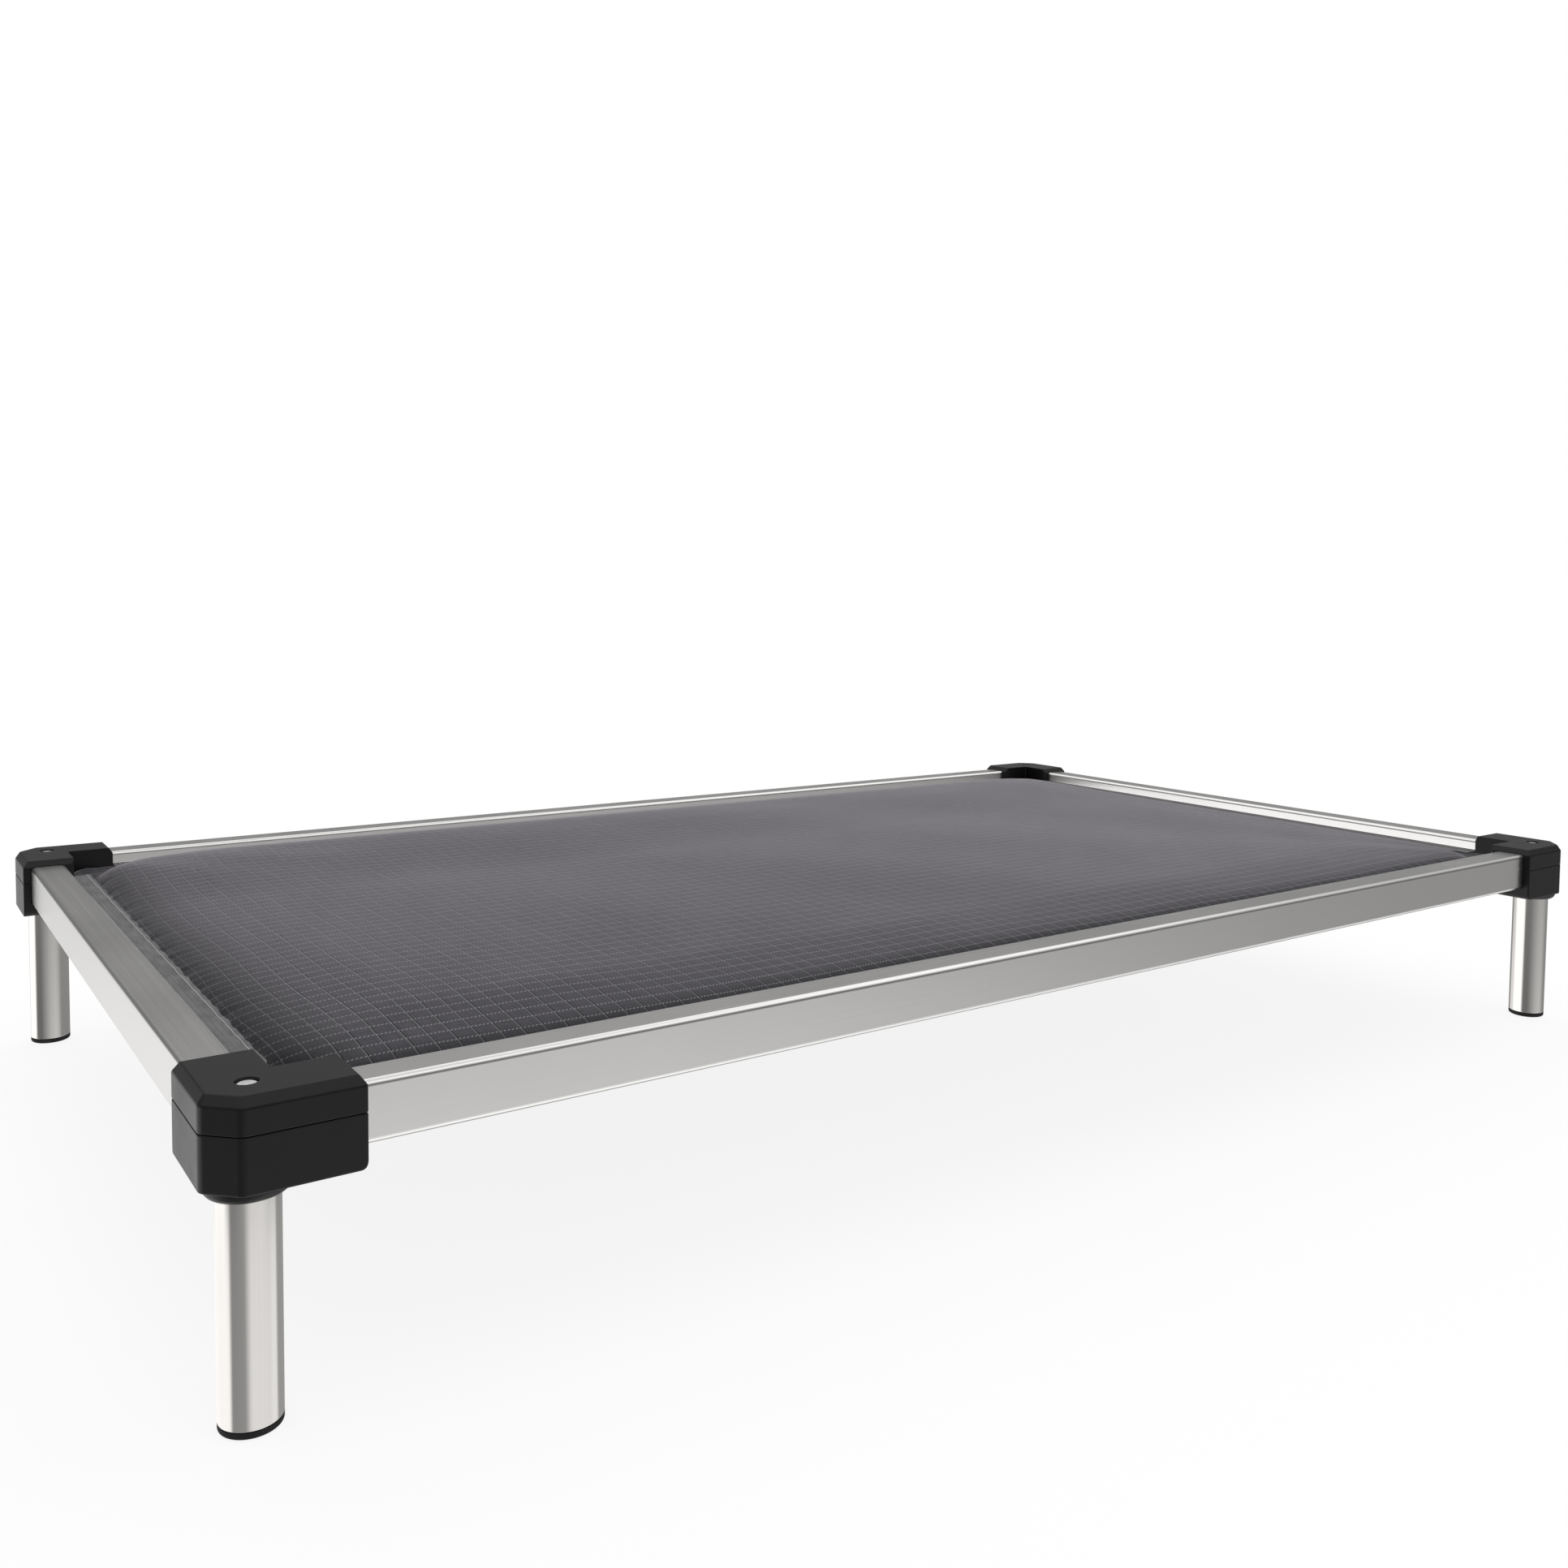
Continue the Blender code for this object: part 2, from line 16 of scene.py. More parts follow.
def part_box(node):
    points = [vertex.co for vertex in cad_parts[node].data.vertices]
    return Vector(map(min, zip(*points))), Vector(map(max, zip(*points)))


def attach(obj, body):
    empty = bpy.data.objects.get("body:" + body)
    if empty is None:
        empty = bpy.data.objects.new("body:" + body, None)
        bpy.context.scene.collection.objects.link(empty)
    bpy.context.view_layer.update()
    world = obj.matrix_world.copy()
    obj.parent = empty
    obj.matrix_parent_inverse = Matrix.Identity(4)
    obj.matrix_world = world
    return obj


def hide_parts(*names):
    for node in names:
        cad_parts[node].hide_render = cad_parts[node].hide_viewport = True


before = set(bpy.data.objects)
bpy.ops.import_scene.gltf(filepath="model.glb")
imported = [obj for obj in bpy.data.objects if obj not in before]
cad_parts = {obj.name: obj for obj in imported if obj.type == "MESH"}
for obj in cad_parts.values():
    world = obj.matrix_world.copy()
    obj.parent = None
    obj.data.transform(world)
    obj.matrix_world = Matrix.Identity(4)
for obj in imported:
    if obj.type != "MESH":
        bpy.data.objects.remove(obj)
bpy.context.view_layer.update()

MM = 0.001
BODY = "root"

# The camera: where it stands, where it looks (degrees clockwise from +Y, then below the horizon), its roll
# and its lens.
CAMERA_PLACE = (-0.6600, -0.9073, 0.3532)
CAMERA_AZIMUTH = 35.657
CAMERA_DOWN = 3.294
CAMERA_ROLL = 0.617
CAMERA_LENS = 32.18
CAMERA_SHIFT = (-0.0217, -0.0722)

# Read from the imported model.
RAIL_LOW, RAIL_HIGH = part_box("long_rail_front")
LEFT_LOW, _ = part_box("short_rail_left")
BASE_LOW, BASE_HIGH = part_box("corner_base_front_left")
CAP_LOW, CAP_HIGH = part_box("corner_cap_front_left")
BRACKET_LOW, BRACKET_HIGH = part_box("corner_bracket_front_left")
TUBE_LOW, TUBE_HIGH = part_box("leg_tube_front_left")
_, FOOT_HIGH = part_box("foot_front_left")
BOLT_LOW, BOLT_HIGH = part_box("leg_bolt_front_left")
WASHER_LOW, WASHER_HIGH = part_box("bolt_washer_front_left")
SCREW_LOW, SCREW_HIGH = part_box("long_rail_screw_front_left")
_, TAPE_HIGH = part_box("edge_tape_front")
ROD_LOW, ROD_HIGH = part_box("keder_rod_front")

HALF_LENGTH = -LEFT_LOW.x
HALF_WIDTH = -RAIL_LOW.y
RAIL_WIDTH = RAIL_HIGH.y - RAIL_LOW.y
RAIL_BOTTOM = RAIL_LOW.z
RAIL_TOP = RAIL_HIGH.z
RAIL_START = RAIL_LOW.x + HALF_LENGTH
CORNER_PROUD = -HALF_LENGTH - CAP_LOW.x
CORNER_ARM = CAP_HIGH.x + HALF_LENGTH
LEG_RADIUS = (TUBE_HIGH.x - TUBE_LOW.x) / 2
LEG_INSET = (TUBE_HIGH.x + TUBE_LOW.x) / 2 + HALF_LENGTH
SEAM_HEIGHT = (ROD_LOW.z + ROD_HIGH.z) / 2
SCREW_REACH = (SCREW_LOW.x + SCREW_HIGH.x) / 2 + HALF_LENGTH
SCREW_ACROSS = (SCREW_LOW.y + SCREW_HIGH.y) / 2 + HALF_WIDTH
ROD_ACROSS = (ROD_LOW.y + ROD_HIGH.y) / 2 + HALF_WIDTH
ROD_RADIUS = (ROD_HIGH.z - ROD_LOW.z) / 2
TAPE_END = TAPE_HIGH.y + HALF_WIDTH
TAPE_DEPTH = TAPE_END - RAIL_WIDTH
INNER_X = HALF_LENGTH - RAIL_WIDTH
INNER_Y = HALF_WIDTH - RAIL_WIDTH

GAP = 0.3 * MM
CUTTER_SPARE = 5 * MM
EDGE_STEPS = 8
ROUND_STEPS = 96
SHARP_ANGLE = math.radians(40)

# Rails.
RAIL_WALL = 1.5 * MM
RAIL_FILLET = 3 * MM
CHANNEL_RADIUS = 3.6 * MM
SLOT_HEIGHT = 3 * MM
SLOT_LIP = 0.4 * MM

# Grain of the metals and threads.
TURNING_PITCH = 0.22 * MM
GRAIN_DEPTH = 0.002 * MM
THREAD_TWIST = 0.5 * MM

# Corners.
COLLAR_LIP = 0.5 * MM
RECESS_RIM = 0.15 * MM
LEAST_EDGE = 0.2 * MM
CORNER_INNER = 28.6 * MM
CORNER_CHAMFER = 14 * MM
CORNER_EDGE = 6 * MM
CAP_SLOPE_IN = 3.2 * MM
CAP_SLOPE_DOWN = 4.6 * MM
SLOPE_SOFTNESS = (2.6 * MM, 1.3 * MM)
SPLIT_EDGE = 0.6 * MM
BASE_EDGE = 0.8 * MM
INNER_EDGE = 0.8 * MM
ARM_END_EDGE = 4 * MM
OUTER_END_EDGE = 1.2 * MM
INNER_END_EDGE = 2.4 * MM
INNER_CORNER_EDGE = 1.6 * MM
WEB_END_EDGE = 1 * MM
COLLAR_RADIUS = 18.5 * MM
COLLAR_FOOT_RADIUS = 14.8 * MM
SOCKET_TOP = TUBE_HIGH.z + GAP
RECESS_RADIUS = 5 * MM

# Legs and fasteners.
TUBE_LIP = 0.35 * MM
FOOT_HOLLOW = 0.5 * MM
FOOT_RING = (4 * MM, 4.6 * MM)
PLUG_RIB = 0.6 * MM
PLUG_RIB_PITCH = 3 * MM
BOLT_RADIUS = 3 * MM
SCREW_RADIUS = 1.7 * MM
SCREW_HEAD_RADIUS = 3.2 * MM
SCREW_HEAD_HEIGHT = 2 * MM
SCREW_SOCKET = (1.45 * MM, 1.3 * MM)

# Soft goods.
FABRIC_THICKNESS = 0.7 * MM
TAPE_THICKNESS = 0.5 * MM
PANEL_INSET = 0.5 * MM
CORNER_CUT = 24 * MM
FLAT_CORNER = 45 * MM
CORNER_SOFTNESS = 6 * MM
FINE_STEP = 2 * MM
COARSE_STEP = 4 * MM
FINE_BORDER = 36 * MM
TAPE_STEP = 3 * MM
TAPE_END_GAP = 0.5 * MM
PUCKER_HEIGHT = 0.5 * MM
PUCKER_ACROSS = 0.9 * MM
PUCKER_FADE = 5 * MM
STITCH_DEPTHS = (3.2 * MM, 13.9 * MM)
STITCH_PITCH = 3.2 * MM
STITCH_LENGTH = 2.4 * MM
STITCH_SKEW = 0.25 * MM
STITCH_END_GAP = 2 * MM
THREAD_RADIUS = 0.36 * MM
THREAD_SIDES = 6
RIPSTOP_PITCH = 11 * MM
DASH_PITCH = 2.1 * MM
WEAVE_PITCH = 0.62 * MM
RIB_PITCH = 1.5 * MM
SELVEDGE_PITCH = 2.6 * MM

# The panel's shape: a roll inside the hem, a swell towards the middle, and how far each reaches.
ROLL_START = TAPE_DEPTH + 0.3 * MM
ROLL_HEIGHT = 4.6 * MM
ROLL_REACH = 9.5 * MM
BACK_RAISE = 6 * MM
BACK_REACH = 7 * MM
RIGHT_RAISE = 1.2 * MM
SWELL_HEIGHT = 2.4 * MM
SWELL_REACH = 80 * MM
DRIFT_REACH = 70 * MM
PULL_HEIGHT = 0.15 * MM
PULL_REACH = 100 * MM
PULL_START = 25 * MM

# Each wave along a seam: its share of the height, its length, and how much of the side's phase shifts it.
PUCKER_WAVES = ((0.40, 31 * MM, 1), (0.25, 18.7 * MM, 2.1), (0.15, 47.3 * MM, 0.7), (0.20, 11.3 * MM, 1))
# Each wave over the panel: its height, its waves per metre along X and along Y, and its phase.
DRIFT_WAVES = (
    (0.45 * MM, 1.9, 0.8, 0.4),
    (0.35 * MM, 1.1, -2.6, 1.9),
    (0.22 * MM, 4.3, 3.1, 2.7),
    (0.14 * MM, 7.9, -5.3, 5.1),
)

# The studio: how much of the bed's shade the floor takes, and the light from above.
FLOOR_SHADE = 0.15
STUDIO_WHITE = (1.2, 1.2, 1.2)

# Each corner's name, place and turn; each side's rails, name, place, turn and half the frame along it.
CORNERS = (
    ("front_left", -HALF_LENGTH, -HALF_WIDTH, 0),
    ("front_right", HALF_LENGTH, -HALF_WIDTH, 90),
    ("back_right", HALF_LENGTH, HALF_WIDTH, 180),
    ("back_left", -HALF_LENGTH, HALF_WIDTH, 270),
)
SIDES = (
    ("long", "front", 0, -HALF_WIDTH, 0, HALF_LENGTH),
    ("long", "back", 0, HALF_WIDTH, 180, HALF_LENGTH),
    ("short", "left", -HALF_LENGTH, 0, 270, HALF_WIDTH),
    ("short", "right", HALF_LENGTH, 0, 90, HALF_WIDTH),
)
QUADRANTS = [(x, y) for x in (-1, 1) for y in (-1, 1)]
PHASES = {"front": 0.4, "back": 2.3, "left": 3.9, "right": 5.2}


# ---------------------------------------------------------------- meshes


def to_mesh(bm):
    bmesh.ops.recalc_face_normals(bm, faces=bm.faces)
    if bm.calc_volume(signed=True) < 0:
        bmesh.ops.reverse_faces(bm, faces=bm.faces)
    mesh = bpy.data.meshes.new("shape")
    bm.to_mesh(mesh)
    bm.free()
    return mesh


def arc(x, y, radius, start, end, steps):
    """Points on a circle from one angle to another, in degrees."""
    angles = [math.radians(start + (end - start) * step / steps) for step in range(steps + 1)]
    return [(x + radius * math.cos(angle), y + radius * math.sin(angle)) for angle in angles]


def circle(x, y, radius, steps):
    return arc(x, y, radius, 0, 360, steps)[:-1]


def rounded(points, radii, steps=EDGE_STEPS, closed=True):
    """A line of points in 2-D with each corner that has a radius turned into an arc."""
    result = []
    last = len(points) - 1
    for index, (point, radius) in enumerate(zip(points, radii)):
        here = Vector(point)
        if not radius or (not closed and index in (0, last)):
            result.append(tuple(here))
            continue
        before = (Vector(points[index - 1]) - here).normalized()
        after = (Vector(points[(index + 1) % len(points)]) - here).normalized()
        half = before.angle(after) / 2
        centre = here + (before + after).normalized() * radius / math.sin(half)
        first = here + before * radius / math.tan(half) - centre
        final = here + after * radius / math.tan(half) - centre
        sweep = math.atan2(first.x * final.y - first.y * final.x, first.dot(final))
        for step in range(steps + 1):
            turn = Matrix.Rotation(sweep * step / steps, 2)
            result.append(tuple(centre + turn @ first))
    return result


def lofted(loops):
    """A closed mesh through loops with equal numbers of points, with a flat face at each end."""
    bm = bmesh.new()
    rings = [[bm.verts.new(point) for point in loop] for loop in loops]
    for lower, upper in zip(rings, rings[1:]):
        for index in range(len(lower)):
            after = (index + 1) % len(lower)
            bm.faces.new((lower[index], lower[after], upper[after], upper[index]))
    bm.faces.new(rings[0])
    bm.faces.new(rings[-1])
    return to_mesh(bm)


def prism(outline, low, high):
    return lofted([[(x, y, z) for x, y in outline] for z in (low, high)])


def length_prism(section, low, high):
    """A section in Y and Z, extruded along X."""
    return lofted([[(x, y, z) for y, z in section] for x in (low, high)])


def turned(profile, steps=ROUND_STEPS, x=0.0, y=0.0):
    """A closed profile of (radius, height) points turned about a vertical axis; its ends may lie on it."""
    bm = bmesh.new()
    rings = []
    for radius, height in profile:
        places = circle(x, y, radius, steps) if radius > 1e-9 else [(x, y)]
        rings.append([bm.verts.new((px, py, height)) for px, py in places])
    if profile[0][0] > 1e-9:
        rings.append(rings[0])
    for lower, upper in zip(rings, rings[1:]):
        for step in range(steps):
            after = (step + 1) % steps
            corners = [lower[step % len(lower)], lower[after % len(lower)]]
            corners += [upper[after % len(upper)], upper[step % len(upper)]]
            bm.faces.new(list(dict.fromkeys(corners)))
    return to_mesh(bm)


def combined(body, joined=(), cut=()):
    """Joins some closed meshes to a body, cuts others from it, and returns the result as one mesh."""
    collection = bpy.context.scene.collection
    work = bpy.data.objects.new("work", body)
    collection.objects.link(work)
    tools = []
    for operation, meshes in (("UNION", joined), ("DIFFERENCE", cut)):
        for mesh in meshes:
            tool = bpy.data.objects.new("tool", mesh)
            collection.objects.link(tool)
            tools.append(tool)
            step = work.modifiers.new(operation, "BOOLEAN")
            step.operation = operation
            step.object = tool
    bpy.context.view_layer.update()
    graph = bpy.context.evaluated_depsgraph_get()
    result = bpy.data.meshes.new_from_object(work.evaluated_get(graph))
    for obj in [*tools, work]:
        bpy.data.objects.remove(obj)
    return result


def piece(name, mesh, finish, nodes=(), place=Matrix(), flat_faces=True):
    """Puts a mesh in the scene, riding on the bed's body and standing for some CAD nodes."""
    mesh = mesh.copy()
    mesh.name = name
    mesh.materials.clear()
    mesh.materials.append(finish)
    mesh.shade_smooth()
    obj = bpy.data.objects.new(name, mesh)
    bpy.context.scene.collection.objects.link(obj)
    obj.matrix_world = place
    if flat_faces:
        mesh.set_sharp_from_angle(angle=SHARP_ANGLE)
        normals = obj.modifiers.new("normals", "WEIGHTED_NORMAL")
        normals.keep_sharp = True
    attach(obj, BODY)
    if nodes:
        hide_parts(*nodes)
    return obj


def turned_place(x, y, turn):
    return Matrix.Translation((x, y, 0)) @ Matrix.Rotation(math.radians(turn), 4, "Z")


# ---------------------------------------------------------------- materials


class Nodes:
    """Adds shader nodes to a tree. An input is either another node's output or a constant."""

    def __init__(self, tree):
        self.nodes = tree.nodes
        self.links = tree.links

    def add(self, kind, inputs=(), **settings):
        made = self.nodes.new(kind)
        for key, value in settings.items():
            setattr(made, key, value)
        for key, value in dict(inputs).items():
            if isinstance(value, bpy.types.NodeSocket):
                self.links.new(value, made.inputs[key])
            else:
                made.inputs[key].default_value = value
        return made

    def maths(self, operation, *values):
        return self.add("ShaderNodeMath", dict(enumerate(values)), operation=operation).outputs[0]

    def blend(self, factor, first, second):
        """The second colour over the first."""
        first, second = ((*value, 1) if isinstance(value, tuple) else value for value in (first, second))
        return self.add("ShaderNodeMix", {0: factor, 6: first, 7: second}, data_type="RGBA").outputs[2]

    def mixed(self, factor, first, second):
        """The second shader over the first."""
        inputs = {0: factor, 1: first.outputs[0], 2: second.outputs[0]}
        return self.add("ShaderNodeMixShader", inputs).outputs[0]

    def ramp(self, value, stops):
        """A grey ramp through (place, brightness) stops, read at a value from 0 to 1."""
        made = self.add("ShaderNodeValToRGB", {"Fac": value})
        elements = made.color_ramp.elements
        while len(elements) < len(stops):
            elements.new(0.5)
        for element, (place, level) in zip(elements, stops):
            element.position = place
            element.color = (level, level, level, 1)
        return made.outputs["Color"]


class Look(Nodes):
    """A material made of nodes round one Principled shader."""

    def __init__(self, name, roughness, metallic=0.0, specular=0.5):
        self.material = bpy.data.materials.new(name)
        self.material.use_nodes = True
        super().__init__(self.material.node_tree)
        self.shader = self.nodes["Principled BSDF"]
        self.set("Roughness", roughness)
        self.set("Metallic", metallic)
        self.set("Specular IOR Level", specular)

    def set(self, socket, value):
        self.shader.inputs[socket].default_value = value

    def feed(self, socket, output):
        self.links.new(output, self.shader.inputs[socket])

    def place(self, scale=(1, 1, 1)):
        """Where the point is on its own object, stretched by a scale."""
        where = self.add("ShaderNodeTexCoord").outputs["Object"]
        return self.add("ShaderNodeMapping", {"Vector": where, "Scale": scale}).outputs[0]

    def noise(self, vector, scale, detail=2.0, roughness=0.5):
        inputs = {"Vector": vector, "Scale": scale, "Detail": detail, "Roughness": roughness}
        return self.add("ShaderNodeTexNoise", inputs).outputs["Fac"]

    def span(self, value, low, high, to_low=0.0, to_high=1.0):
        """The value, moved smoothly from one range to another."""
        inputs = {"Value": value, "From Min": low, "From Max": high, "To Min": to_low, "To Max": to_high}
        kind = "ShaderNodeMapRange"
        return self.add(kind, inputs, interpolation_type="SMOOTHSTEP").outputs["Result"]

    def line(self, value, pitch, core, edge, offset=0.0):
        """1 within a core distance of the nearest of some lines a pitch apart, and 0 past its edge."""
        turns = self.maths("MULTIPLY", self.maths("ADD", value, offset), 1 / pitch)
        middle = self.maths("SUBTRACT", self.maths("FRACT", turns), 0.5)
        return self.span(self.maths("MULTIPLY", self.maths("ABSOLUTE", middle), pitch), core, edge, 1.0, 0.0)

    def wave(self, value, pitch):
        return self.maths("SINE", self.maths("MULTIPLY", value, 2 * math.pi / pitch))

    def bump(self, height, distance, strength=1.0):
        inputs = {"Height": height, "Distance": distance, "Strength": strength}
        self.feed("Normal", self.add("ShaderNodeBump", inputs).outputs[0])


def satin_aluminium(name, along, across, roughness, tint):
    """Anodised aluminium, with a very fine grain along one axis and faint handling marks."""
    look = Look(name, roughness, metallic=1.0)
    stretched = look.place(tuple(3 if axis == along else across for axis in "XYZ"))
    grain = look.noise(stretched, 1.0, 3.0, 0.6)
    smudge = look.noise(look.place(), 9.0, 3.0)
    dark = tuple(0.975 * share for share in tint)
    colour = look.blend(look.span(grain, 0.3, 0.7), dark, tint)
    look.feed("Base Color", look.blend(look.span(smudge, 0.45, 0.75, 0.0, 0.5), colour, dark))
    rough = look.span(look.maths("ADD", grain, smudge), 0.6, 1.4, 0.88 * roughness, 1.12 * roughness)
    look.feed("Roughness", rough)
    look.bump(grain, GRAIN_DEPTH, 0.5)
    return look.material


def moulded_plastic(name):
    """Black moulded plastic with a fine spark-eroded grain and faint rubbed patches."""
    look = Look(name, 0.36, specular=0.30)
    where = look.place()
    grain = look.noise(where, 2600, 2.0, 0.6)
    patch = look.noise(where, 38, 3.0)
    rub = look.span(look.noise(where, 160, 4.0, 0.7), 0.60, 0.80)
    colour = look.blend(patch, (0.0045, 0.0045, 0.0046), (0.0070, 0.0070, 0.0072))
    look.feed("Base Color", look.blend(look.maths("MULTIPLY", rub, 0.35), colour, (0.014, 0.014, 0.014)))
    rough = look.span(patch, 0.3, 0.7, 0.33, 0.39)
    look.feed("Roughness", look.maths("SUBTRACT", rough, look.maths("MULTIPLY", rub, 0.03)))
    look.bump(grain, 0.02 * MM, 0.5)
    return look.material


def rubber(name):
    look = Look(name, 0.75, specular=0.3)
    where = look.place()
    speckle = look.noise(where, 1700, 3.0, 0.7)
    dust = look.span(look.noise(where, 90, 4.0), 0.5, 0.75)
    look.feed("Base Color", look.blend(dust, (0.010, 0.010, 0.010), (0.026, 0.025, 0.024)))
    look.feed("Roughness", look.span(speckle, 0.3, 0.7, 0.66, 0.82))
    look.bump(speckle, 0.05 * MM, 0.7)
    return look.material


def turned_steel(name):
    """Bright zinc-plated steel with fine turning rings about the object's own Z axis."""
    look = Look(name, 0.45, metallic=1.0)
    where = look.place((1, 1, 0))
    radius = look.add("ShaderNodeVectorMath", {0: where}, operation="LENGTH").outputs["Value"]
    rings = look.wave(radius, TURNING_PITCH)
    cloud = look.noise(look.place(), 420, 3.0)
    look.feed("Base Color", look.blend(cloud, (0.84, 0.84, 0.84), (0.93, 0.93, 0.92)))
    look.feed("Roughness", look.span(cloud, 0.3, 0.7, 0.42, 0.52))
    look.bump(rings, 0.004 * MM, 0.5)
    return look.material


def cast_metal(name):
    look = Look(name, 0.5, metallic=1.0)
    where = look.place()
    pits = look.noise(where, 900, 4.0, 0.7)
    cloud = look.noise(where, 60, 3.0)
    look.feed("Base Color", look.blend(cloud, (0.36, 0.36, 0.37), (0.50, 0.50, 0.50)))
    look.feed("Roughness", look.span(pits, 0.3, 0.7, 0.42, 0.60))
    look.bump(pits, 0.08 * MM, 0.7)
    return look.material


def rod_plastic(name):
    look = Look(name, 0.4)
    where = look.place()
    cloud = look.noise(where, 120, 3.0)
    look.feed("Base Color", look.blend(cloud, (0.52, 0.52, 0.50), (0.66, 0.66, 0.63)))
    look.feed("Roughness", look.span(cloud, 0.3, 0.7, 0.34, 0.48))
    look.bump(look.noise(look.place((40, 1500, 1500)), 1.0, 2.0), 0.02 * MM, 0.5)
    return look.material


def ripstop_cloth(name):
    """Dark grey ripstop: a fine weave with raised threads across the bed and dashed ones along it.

    A painted groove shadow lies beside each raised thread, and painted shade darkens the cloth near its
    hems.
    """
    look = Look(name, 0.8, specular=0.2)
    look.set("Sheen Weight", 0.84)
    look.set("Sheen Roughness", 0.22)
    look.set("Sheen Tint", (0.965, 0.92, 1.0, 1))
    where = look.place()
    split = look.add("ShaderNodeSeparateXYZ", {"Vector": where})
    sway = look.maths("MULTIPLY", look.maths("SUBTRACT", look.noise(where, 4, 1.0), 0.5), 22 * MM)
    drift = look.maths("MULTIPLY", look.maths("SUBTRACT", look.noise(where, 5.3, 1.0), 0.5), 12 * MM)
    x = look.maths("ADD", split.outputs["X"], sway)
    y = look.maths("ADD", split.outputs["Y"], drift)
    warp = look.line(x, RIPSTOP_PITCH, 0.10 * MM, 0.27 * MM)
    # Painted groove shadow: a dark line beside each raised thread darkens the colour; the bump also sinks a
    # shallow groove under it.
    shade = look.line(x, RIPSTOP_PITCH, 0.20 * MM, 0.45 * MM, -0.65 * MM)
    slant = look.maths("SUBTRACT", x, look.maths("MULTIPLY", y, 0.75))
    dash = look.line(slant, DASH_PITCH, 0.38 * MM, 0.62 * MM)
    weft = look.line(y, RIPSTOP_PITCH, 0.40 * MM, 0.70 * MM)
    dashes = look.maths("MULTIPLY", weft, dash)
    weave = look.maths("MULTIPLY", look.wave(x, WEAVE_PITCH), look.wave(y, WEAVE_PITCH))
    yarn = look.noise(look.place((30, 900, 1)), 1.0, 2.0)
    yarn = look.maths("ADD", yarn, look.noise(look.place((900, 30, 1)), 1.0, 2.0))
    patch = look.noise(where, 5, 3.0)
    base = look.blend(look.span(yarn, 0.6, 1.4), (0.0395, 0.0370, 0.0435), (0.0640, 0.0600, 0.0695))
    base = look.blend(look.span(patch, 0.3, 0.7, 0.0, 0.22), base, (0.070, 0.067, 0.076))
    base = look.blend(look.span(weave, -0.9, 0.9, 0.0, 0.35), base, (0.026, 0.025, 0.029))
    # Painted shade: the cloth's colour darkens towards its hems, most along the left and right rails, and
    # its threads are dimmed there too.
    in_x = look.maths("SUBTRACT", INNER_X, look.maths("ABSOLUTE", split.outputs["X"]))
    in_y = look.maths("SUBTRACT", INNER_Y, look.maths("ABSOLUTE", split.outputs["Y"]))
    side_painted_shade = look.span(in_x, 17 * MM, 64 * MM, 0.95, 0.0)
    hem = look.maths("MAXIMUM", side_painted_shade, look.span(in_y, 17 * MM, 36 * MM, 0.6, 0.0))
    # The painted hem shade and the painted groove shadow both darken the colour towards near black.
    dark = look.maths("MAXIMUM", hem, look.maths("MULTIPLY", shade, 0.85))
    base = look.blend(dark, base, (0.004, 0.004, 0.005))
    share_outside_painted_shade = look.maths("SUBTRACT", 1.0, look.maths("MULTIPLY", hem, 0.75))
    base = look.blend(look.maths("MULTIPLY", warp, share_outside_painted_shade), base, (0.165, 0.162, 0.172))
    dashed = look.blend(look.maths("MULTIPLY", dashes, share_outside_painted_shade), base, (0.205, 0.201, 0.213))
    look.feed("Base Color", dashed)
    look.feed("Roughness", look.span(yarn, 0.6, 1.4, 0.86, 0.72))
    thread = look.maths("MAXIMUM", warp, dashes)
    height = look.maths("ADD", look.maths("MULTIPLY", thread, 1.2), look.maths("MULTIPLY", weave, 0.3))
    look.bump(look.maths("SUBTRACT", height, look.maths("MULTIPLY", shade, 0.5)), 0.08 * MM, 0.7)
    return look.material


def hem_tape(name):
    """A woven binding: a coarse slanting rib, fuzzy, and worn a little lighter in places."""
    look = Look(name, 0.82, specular=0.25)
    look.set("Sheen Weight", 0.3)
    look.set("Sheen Roughness", 0.4)
    where = look.place()
    split = look.add("ShaderNodeSeparateXYZ", {"Vector": where})
    x, y = split.outputs["X"], split.outputs["Y"]
    wander = look.maths("MULTIPLY", look.noise(where, 180, 3.0), 2.4 * MM)
    slant = look.maths("ADD", look.maths("ADD", x, look.maths("MULTIPLY", y, 0.8)), wander)
    rib = look.wave(slant, RIB_PITCH)
    edge = look.wave(y, SELVEDGE_PITCH)
    fuzz = look.noise(where, 620, 4.0, 0.7)
    worn = look.noise(look.place((60, 190, 90)), 1.0, 4.0)
    base = look.blend(look.span(worn, 0.35, 0.65), (0.060, 0.059, 0.062), (0.150, 0.148, 0.152))
    base = look.blend(look.span(fuzz, 0.42, 0.66, 0.0, 0.55), base, (0.215, 0.212, 0.218))
    base = look.blend(look.span(edge, 0.3, 0.95, 0.0, 0.45), base, (0.050, 0.049, 0.052))
    look.feed("Base Color", look.blend(look.span(rib, -0.2, 0.9, 0.6, 0.0), base, (0.045, 0.044, 0.047)))
    look.feed("Roughness", look.span(fuzz, 0.3, 0.7, 0.75, 0.9))
    look.bump(look.maths("ADD", rib, look.maths("MULTIPLY", fuzz, 2.0)), 0.12 * MM, 0.9)
    return look.material


